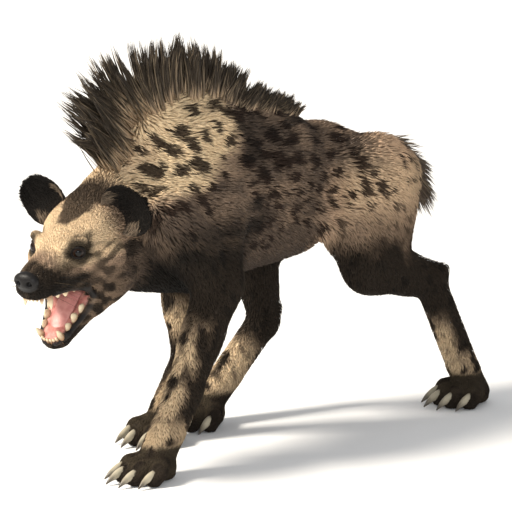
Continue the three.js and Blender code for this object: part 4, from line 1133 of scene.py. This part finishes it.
def grow_whiskers():
    """Stiff black hairs in rows on the sides of the muzzle, and a few over the eyes."""
    for name, side in SIDES.items():
        places = []
        ways = []
        for row in range(3):
            for k in range(5):
                places.append(spot(30 + 1.1 * k, -172 + 11 * k, 10 - 7 * row + 0.6 * k))
                ways.append(spot(0.85, 0.30 + 0.08 * k, -0.1 - 0.15 * row))
        on_muzzle = len(places)
        for k in range(3):
            places.append(spot(38 + 3 * k, -94 + 5 * k, 66))
            ways.append(spot(0.5, 0.1, 0.85))
        count = len(places)
        local = np.array(places) + rng.normal(0, 1.2, (count, 3))
        root = head_point(local * (side, 1, 1))
        for _ in range(4):
            root = root - slope(skin_at, root) * np.clip(skin_at(root), -12, 12)[:, None]
        way = head_way(np.array(ways) * (side, 1, 1) + rng.normal(0, 0.07, (count, 3)))
        long, short = rng.uniform(52, 88, count), rng.uniform(30, 44, count)
        length = np.where(np.arange(count) < on_muzzle, long, short)
        sag = np.tile(spot(0, 0.4, -0.6), (count, 1))
        wide = np.full(count, 1.0)
        grow_bristles(f"whiskers_{name}", root, way, sag, length, wide, whisker_finish, "face")


whisker_finish = paint_bristle("whisker", DARK, DARK, DARK)
grow_whiskers()


def ring_solid(name, grid, closed=False, numbers=None):
    """A closed mesh over rings of points (rings, points, 3). If closed, the last ring meets the first."""
    rings, sides, _ = grid.shape
    faces = []
    for ring in range(rings if closed else rings - 1):
        after = (ring + 1) % rings
        for k in range(sides):
            beside = (k + 1) % sides
            faces.append((ring * sides + k, ring * sides + beside, after * sides + beside, after * sides + k))
    thing = make_mesh(name, grid.reshape(-1, 3), np.array(faces), numbers)
    # Merge doubled corners, close open rings and turn faces outwards
    work = bmesh.new()
    work.from_mesh(thing.data)
    bmesh.ops.remove_doubles(work, verts=work.verts, dist=1e-6)
    bmesh.ops.holes_fill(work, edges=work.edges, sides=0)
    bmesh.ops.recalc_face_normals(work, faces=work.faces)
    work.to_mesh(thing.data)
    work.free()
    return thing


def tube(name, path, wide, thick, across, sides=14):
    """A closed tube of oval rings along a path of points."""
    path = np.asarray(path, float)
    run = unit(np.gradient(path, axis=0))
    a = unit(across - (run @ across)[:, None] * run)
    b = np.cross(run, a)
    turn = np.linspace(0, 2 * math.pi, sides, endpoint=False)
    ring = (np.cos(turn)[None, :, None] * a[:, None] * np.asarray(thick)[:, None, None] / 2
            + np.sin(turn)[None, :, None] * b[:, None] * np.asarray(wide)[:, None, None] / 2)
    grid = path[:, None] + ring
    along = np.repeat(np.linspace(0, 1, len(path)), sides)
    return ring_solid(name, grid, numbers=dict(along=along))


def curve(knots, count):
    """A smooth run of points through the knots."""
    knots = np.array(knots, float)
    t = np.linspace(0, len(knots) - 1, count)
    i = np.clip(t.astype(int), 0, len(knots) - 2)
    f = (t - i)[:, None]
    before, after = knots[np.maximum(i - 1, 0)], knots[np.minimum(i + 2, len(knots) - 1)]
    a, b = knots[i], knots[i + 1]
    return 0.5 * (2 * a + (b - before) * f + (2 * before - 5 * a + 4 * b - after) * f ** 2
                  + (3 * a - before - 3 * b + after) * f ** 3)


# Ears
ear_paint = Paint("ear_hair", 0.85, Specular_IOR_Level=0.12)
ear_shade = ear_paint.mix(ear_paint.number("along").step(0.05, 0.5), EAR_ROOT, EAR_BLACK)
ear_paint.colour(ear_paint.mix(ear_paint.number("pale"), ear_shade, EAR_PALE))
ear_paint.bump(ear_paint.noise(300, 2), 0.0012, 0.8)


def make_ear(name, side):
    """A rounded cup of an ear, with short hair on both faces."""
    root = head_point(spot(side * 50, 20, 62))
    up = head_way(spot(side * 0.8, 0.14, 0.54))
    opening = head_way(spot(side * 0.34, -0.92, 0.1))
    across = unit(np.cross(up, opening))
    opening = unit(np.cross(across, up))
    rows, columns = 26, 24
    s, t = np.meshgrid(np.linspace(0, 1, rows), np.linspace(-1, 1, columns), indexing="ij")
    reach = -0.12 + 1.12 * s

    def cup(inset):
        half = EAR_WIDTH / 2 * np.sqrt(np.maximum(0.02, 1 - ((reach - 0.46) / 0.545) ** 2))
        depth = (30 + (9 - 30) * reach) * (1 - t * t) + inset * (1 - 0.45 * np.abs(t))
        wave = 1.5 * np.sin(9 * s + 2 * t)
        return (root + up * (EAR_LENGTH * (reach + 0.12))[..., None] + across * (half * t)[..., None]
                + opening * (12 * reach * reach - depth + wave)[..., None])
    front, back = cup(1.2), cup(5.4)
    loop = np.concatenate([front, back[:, ::-1]], 1)
    pale_front = 0.45 * smooth(np.abs(t) * np.ones_like(s), 0.55, 0.95) * smooth(s, 0.42, 0.08)
    pale = np.concatenate([pale_front, np.zeros_like(s)], 1)
    along = np.concatenate([s, s[:, ::-1]], 1)
    numbers = dict(along=along.ravel(), pale=pale.ravel())
    ear = ring_solid("ear_" + name + "_flap", loop, numbers=numbers)
    dress(ear, ear_paint.material, "ear", "ear_" + name)
    # Short hairs over both faces, and longer pale ones inside the front edges
    count = EAR_HAIRS
    a, b = rng.random(count) * (rows - 1.01), rng.random(count) * (columns - 1.01)
    i, j = a.astype(int), b.astype(int)
    outer = rng.random(count) < 0.5
    face = np.where(outer[:, None], back[i, j], front[i, j])
    u = np.where(outer[:, None], back[i + 1, j] - back[i, j], front[i + 1, j] - front[i, j])
    w = np.where(outer[:, None], back[i, j + 1] - back[i, j], front[i, j + 1] - front[i, j])
    normal = unit(np.cross(u, w)) * np.where(outer, 1, -1)[:, None]
    normal = normal * np.sign((normal * opening).sum(1) * np.where(outer, -1, 1))[:, None]
    face = face + u * (a - i)[:, None] + w * (b - j)[:, None]
    edge = np.abs(b / (columns - 1) * 2 - 1)
    inner = (~outer) & (edge > 0.7) & (a / rows < 0.42)
    sway = rng.normal(0, 0.15, count) - 0.5 * inner * np.sign(b / (columns - 1) - 0.5)
    way = unit(up + across * sway[:, None])
    way = unit(way - (way * normal).sum(1, keepdims=True) * normal)
    length = np.where(inner, rng.uniform(12, 24, count), rng.uniform(6, 11, count))
    lift = np.where(inner, 0.35, 0.16)
    base = face - normal * 0.6
    middle = face + way * (length * 0.5)[:, None] + normal * (length * lift * 0.6)[:, None]
    tip = face + way * length[:, None] + normal * (length * lift)[:, None]
    centres = np.stack([base, middle, tip], 1)
    wide = rng.uniform(1.2, 2.2, count)
    points, faces, steps = blades(centres, np.cross(way, normal)[:, None], normal[:, None],
                                  np.stack([wide, wide * 0.8], 1), np.stack([wide * 0.3, wide * 0.3], 1))
    corners = points.shape[1]
    paleness = inner * rng.uniform(0.1, 0.6, count)
    numbers = dict(along=np.repeat(0.2 + 0.8 * a / rows, corners), pale=np.repeat(paleness, corners))
    places = np.stack([0.02 + 0.96 * a / rows, 0.02 + 0.46 * b / columns + 0.5 * outer], 1)
    patches = tuft_uv(places, steps)
    hair = make_mesh("ear_" + name + "_hair", points.reshape(-1, 3), faces, numbers, patches)
    dress(hair, ear_paint.material, "ear")


for name, side in SIDES.items():
    make_ear(name, side)

# Eyes: a dark brown ball with a round pupil behind a bulging, wet cornea, and lids
eye_paint = Paint("eye", 0.05, Specular_IOR_Level=0.25)
eye_colour = eye_paint.mix(eye_paint.number("front").step(0.74, 0.80), EYE_DARK, IRIS)
eye_paint.colour(eye_paint.mix(eye_paint.number("front").step(0.88, 0.90), eye_colour, PUPIL))
lid_paint = Paint("eye_lid", 0.55, Specular_IOR_Level=0.15)
lid_paint.colour(LID_BLACK)
GAZE = spot(0.62, -0.76, 0.12)
OPEN_UP, OPEN_DOWN, OPEN_WIDE = math.radians(38), math.radians(34), math.radians(58)
# Rings of the lids, from the ball over the rim and back under the skin: the angle out from the rim, and the
# distance from the eye's centre in its radii
LID_RINGS = ((0.0, 1.0), (0.0, 1.10), (0.07, 1.17), (0.2, 1.19), (0.42, 1.12), (0.6, 0.98), (0.3, 0.9))


def make_eye(name, side):
    centre = head_point(EYE * (side, 1, 1))
    gaze = head_way(GAZE * (side, 1, 1))
    up = head_way(spot(0, 0.1, 1))
    right = unit(np.cross(gaze, up))
    up = np.cross(right, gaze)
    turns = np.linspace(0, 2 * math.pi, 40, endpoint=False)
    theta, phi = np.meshgrid(np.linspace(0, math.pi, 26), turns, indexing="ij")
    ball = (gaze * np.cos(theta)[..., None] + right * (np.sin(theta) * np.cos(phi))[..., None]
            + up * (np.sin(theta) * np.sin(phi))[..., None])
    radius = EYE_RADIUS * (1 + 0.055 * smooth(np.cos(theta), 0.8, 0.95))
    eye = ring_solid("eye_" + name + "_ball", centre + ball * radius[..., None],
                     numbers=dict(front=np.cos(theta).ravel()))
    dress(eye, eye_paint.material, "eye", "eye_" + name)
    # The lids are one almond ring on the ball, thick at its edge and running back under the skin
    turn = np.linspace(0, 2 * math.pi, 48, endpoint=False)
    height = np.where(np.sin(turn) > 0, OPEN_UP, OPEN_DOWN)
    edge = np.hypot(OPEN_WIDE * np.cos(turn), height * np.sin(turn) * (1 - 0.18 * np.cos(turn) ** 2))
    rows = []
    for out, lift in LID_RINGS:
        far = edge + out
        ring = (gaze * np.cos(far)[:, None] + right * (np.sin(far) * np.cos(turn))[:, None]
                + up * (np.sin(far) * np.sin(turn))[:, None])
        rows.append(centre + ring * EYE_RADIUS * lift)
    lid = ring_solid("eye_" + name + "_lids", np.array(rows), closed=True)
    dress(lid, lid_paint.material, "face")


for name, side in SIDES.items():
    make_eye(name, side)

# Teeth and tongue
tooth_paint = Paint("tooth", 0.28)
stain = tooth_paint.number("along") + tooth_paint.noise(90) * 0.35
tooth_paint.colour(tooth_paint.mix(stain.step(0.35, 0.9), TOOTH_STAIN, TOOTH_PALE))
# Teeth in the frames of the head and the jaw, from the middle to the back
UPPER = [
    dict(x=4, y=-186, z=-13, tall=7.5, wide=7.5, long=6),
    dict(x=11.5, y=-184, z=-13, tall=8, wide=7.5, long=6.5),
    dict(x=18.5, y=-179, z=-13, tall=14, wide=9, long=9),
    dict(x=26.5, y=-163, z=-11, tall=29, wide=12, long=15, lean=2),
    dict(x=30, y=-140, z=-12, tall=15, wide=11, long=19),
    dict(x=34, y=-119, z=-13, tall=19, wide=13, long=22),
    dict(x=39, y=-95, z=-15, tall=16, wide=11, long=27),
]
LOWER = [
    dict(x=3.5, y=-184, z=-26, tall=8, wide=7, long=6),
    dict(x=10, y=-183, z=-26, tall=8.5, wide=7, long=6),
    dict(x=15.5, y=-180, z=-26, tall=9.5, wide=7, long=7),
    dict(x=21, y=-172, z=-28, tall=28, wide=12, long=14, lean=2),
    dict(x=26, y=-148, z=-30, tall=17, wide=10, long=20),
    dict(x=30, y=-126, z=-31, tall=21, wide=12, long=23),
    dict(x=35, y=-102, z=-32, tall=18, wide=11, long=25),
]


# A tooth's rings: how far up it, the first being its root in millimetres, and how thick
TOOTH_STEPS = np.array([-10, 0, 0.2, 0.42, 0.64, 0.84, 0.96, 1.0])
TOOTH_SHAPE = np.array([0.9, 1.0, 1.0, 0.88, 0.68, 0.42, 0.2, 0.05]) * HEAD_SCALE


def make_tooth(peg, side, point, way):
    path = []
    for h in np.where(TOOTH_STEPS < 0, TOOTH_STEPS, TOOTH_STEPS * peg["tall"]):
        across = side * (peg["x"] + h * peg.get("lean", 0) / 20)
        path.append(point(spot(across, peg["y"] - abs(h) * 0.12, peg["z"]) + way * h))
    long, wide = peg["long"] * TOOTH_SHAPE, peg["wide"] * TOOTH_SHAPE
    return tube("tooth", path, long, wide, head_way(spot(1, 0, 0)), 12)


def make_teeth():
    teeth = []
    for row, point, way in ((UPPER, head_point, spot(0, 0, -1)), (LOWER, jaw_point, spot(0, 0, 1))):
        for peg in row:
            for side in (1, -1):
                teeth.append(make_tooth(peg, side, point, way))
    bpy.ops.object.select_all(action="DESELECT")
    for tooth in teeth:
        tooth.select_set(True)
    bpy.context.view_layer.objects.active = teeth[0]
    bpy.ops.object.join()
    teeth[0].name = "teeth"
    teeth[0].data.polygons.foreach_set("use_smooth", np.ones(len(teeth[0].data.polygons), bool))
    dress(teeth[0], tooth_paint.material, "face")
    teeth[0].select_set(False)


make_teeth()

tongue_paint = Paint("tongue_flesh", 0.32)
tongue_paint.colour(tongue_paint.mix(tongue_paint.noise(70).step(0.3, 0.7), TONGUE_PINK, TONGUE_RED))
tongue_paint.bump(tongue_paint.noise(700, 1), 0.0008, 0.7)


def make_tongue():
    path = curve([jaw_point(p) for p in
                  ((0, -46, -24), (0, -80, -22), (0, -120, -24), (0, -150, -28), (0, -170, -31))], 24)
    t = np.linspace(0, 1, 24)
    stops = [0, 0.25, 0.5, 0.75, 1]
    wide = np.interp(t, stops, [46, 50, 46, 38, 16]) * np.sqrt(np.clip((1.02 - t) * 9, 0, 1))
    thick = np.interp(t, stops, [12, 15, 15, 12, 6])
    up = unit(jaw_point(spot(0, 0, 1)) - jaw_point(spot(0, 0, 0)))
    tongue = tube("tongue_flesh", path, wide, thick, up, 28)
    dress(tongue, tongue_paint.material, "tongue", "tongue")


make_tongue()

# Claws: pale horn with a dark tip and root
claw_paint = Paint("claw_horn", 0.34)
horn = claw_paint.mix((claw_paint.number("along") + claw_paint.noise(120) * 0.2).step(0.55, 1.05),
                      HORN_PALE, HORN_TIP)
claw_paint.colour(claw_paint.mix((1 - claw_paint.number("along")).step(0.72, 0.95), horn, HORN_ROOT))


def make_claws():
    for paw, (limb, size) in PAWS.items():
        at = paw_frame(limb["ball"], limb["toes"])
        for i, (across, ahead) in enumerate(TOES):
            t = np.linspace(0, 1, 12)
            path = np.array([at(across * (1.06 + 0.1 * s) * size, ahead * size - 6 + CLAW_LENGTH * s,
                                27 - 4 * s - 19 * s * s) for s in t])
            wide = np.interp(t, [0, 0.4, 0.75, 1], [24, 20, 12, 2.4])
            thick = np.interp(t, [0, 0.4, 0.75, 1], [16, 15, 10, 2.4])
            node = f"{paw}_claw_{i + 1}"
            claw = tube(node + "_horn", path, wide, thick, spot(1, 0, 0), 14)
            dress(claw, claw_paint.material, "claw", node)


make_claws()

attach(skin, "root")
FLESH_NODES = ["head", "jaw", "neck", "chest", "loin", "rump", "tail"]
for part in ("upper_arm", "forearm", "forepaw", "thigh", "shank", "metatarsus", "hind_paw"):
    FLESH_NODES += [part + "_left", part + "_right"]
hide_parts(*FLESH_NODES)

# A pale floor, soft light and the camera
floor_paint = Paint("pale_floor", 0.9)
floor_paint.colour((0.93, 0.93, 0.93))
bpy.ops.mesh.primitive_plane_add(size=60, location=(0, 0, -0.0005))
floor = bpy.context.object
floor.name = "floor"
floor.data.materials.append(floor_paint.material)

world = bpy.data.worlds.new("studio")
world.use_nodes = True
world.node_tree.nodes["Background"].inputs["Color"].default_value = (1, 1, 1, 1)
world.node_tree.nodes["Background"].inputs["Strength"].default_value = 0.55
bpy.context.scene.world = world


def add_light(name, place, aim, size, power, colour=(1, 1, 1)):
    data = bpy.data.lights.new(name, "AREA")
    data.size, data.energy, data.color = size, power, colour
    lamp = bpy.data.objects.new(name, data)
    bpy.context.scene.collection.objects.link(lamp)
    lamp.location = place
    lamp.rotation_euler = (Vector(aim) - Vector(place)).to_track_quat("-Z", "Y").to_euler()


add_light("key", (-4.8, -10.2, 11.4), (0, 0, 0.45), 3.6, 4300, (1.0, 0.93, 0.82))
add_light("fill", (5.6, -4.8, 2.7), (0, 0, 0.4), 1.0, 150, (0.92, 0.96, 1.0))
bpy.context.scene.view_settings.view_transform = "Standard"

camera_data = bpy.data.cameras.new("camera")
camera_data.lens = CAMERA_LENS
camera = bpy.data.objects.new("camera", camera_data)
bpy.context.scene.collection.objects.link(camera)
bpy.context.scene.camera = camera
azimuth, elevation = math.radians(CAMERA_AZIMUTH), math.radians(CAMERA_ELEVATION)
back = Vector((math.sin(azimuth) * math.cos(elevation), -math.cos(azimuth) * math.cos(elevation),
               math.sin(elevation)))
camera.location = Vector(CAMERA_AIM) + back * CAMERA_DISTANCE
camera.rotation_euler = (-back).to_track_quat("-Z", "Y").to_euler()

bpy.context.view_layer.update()
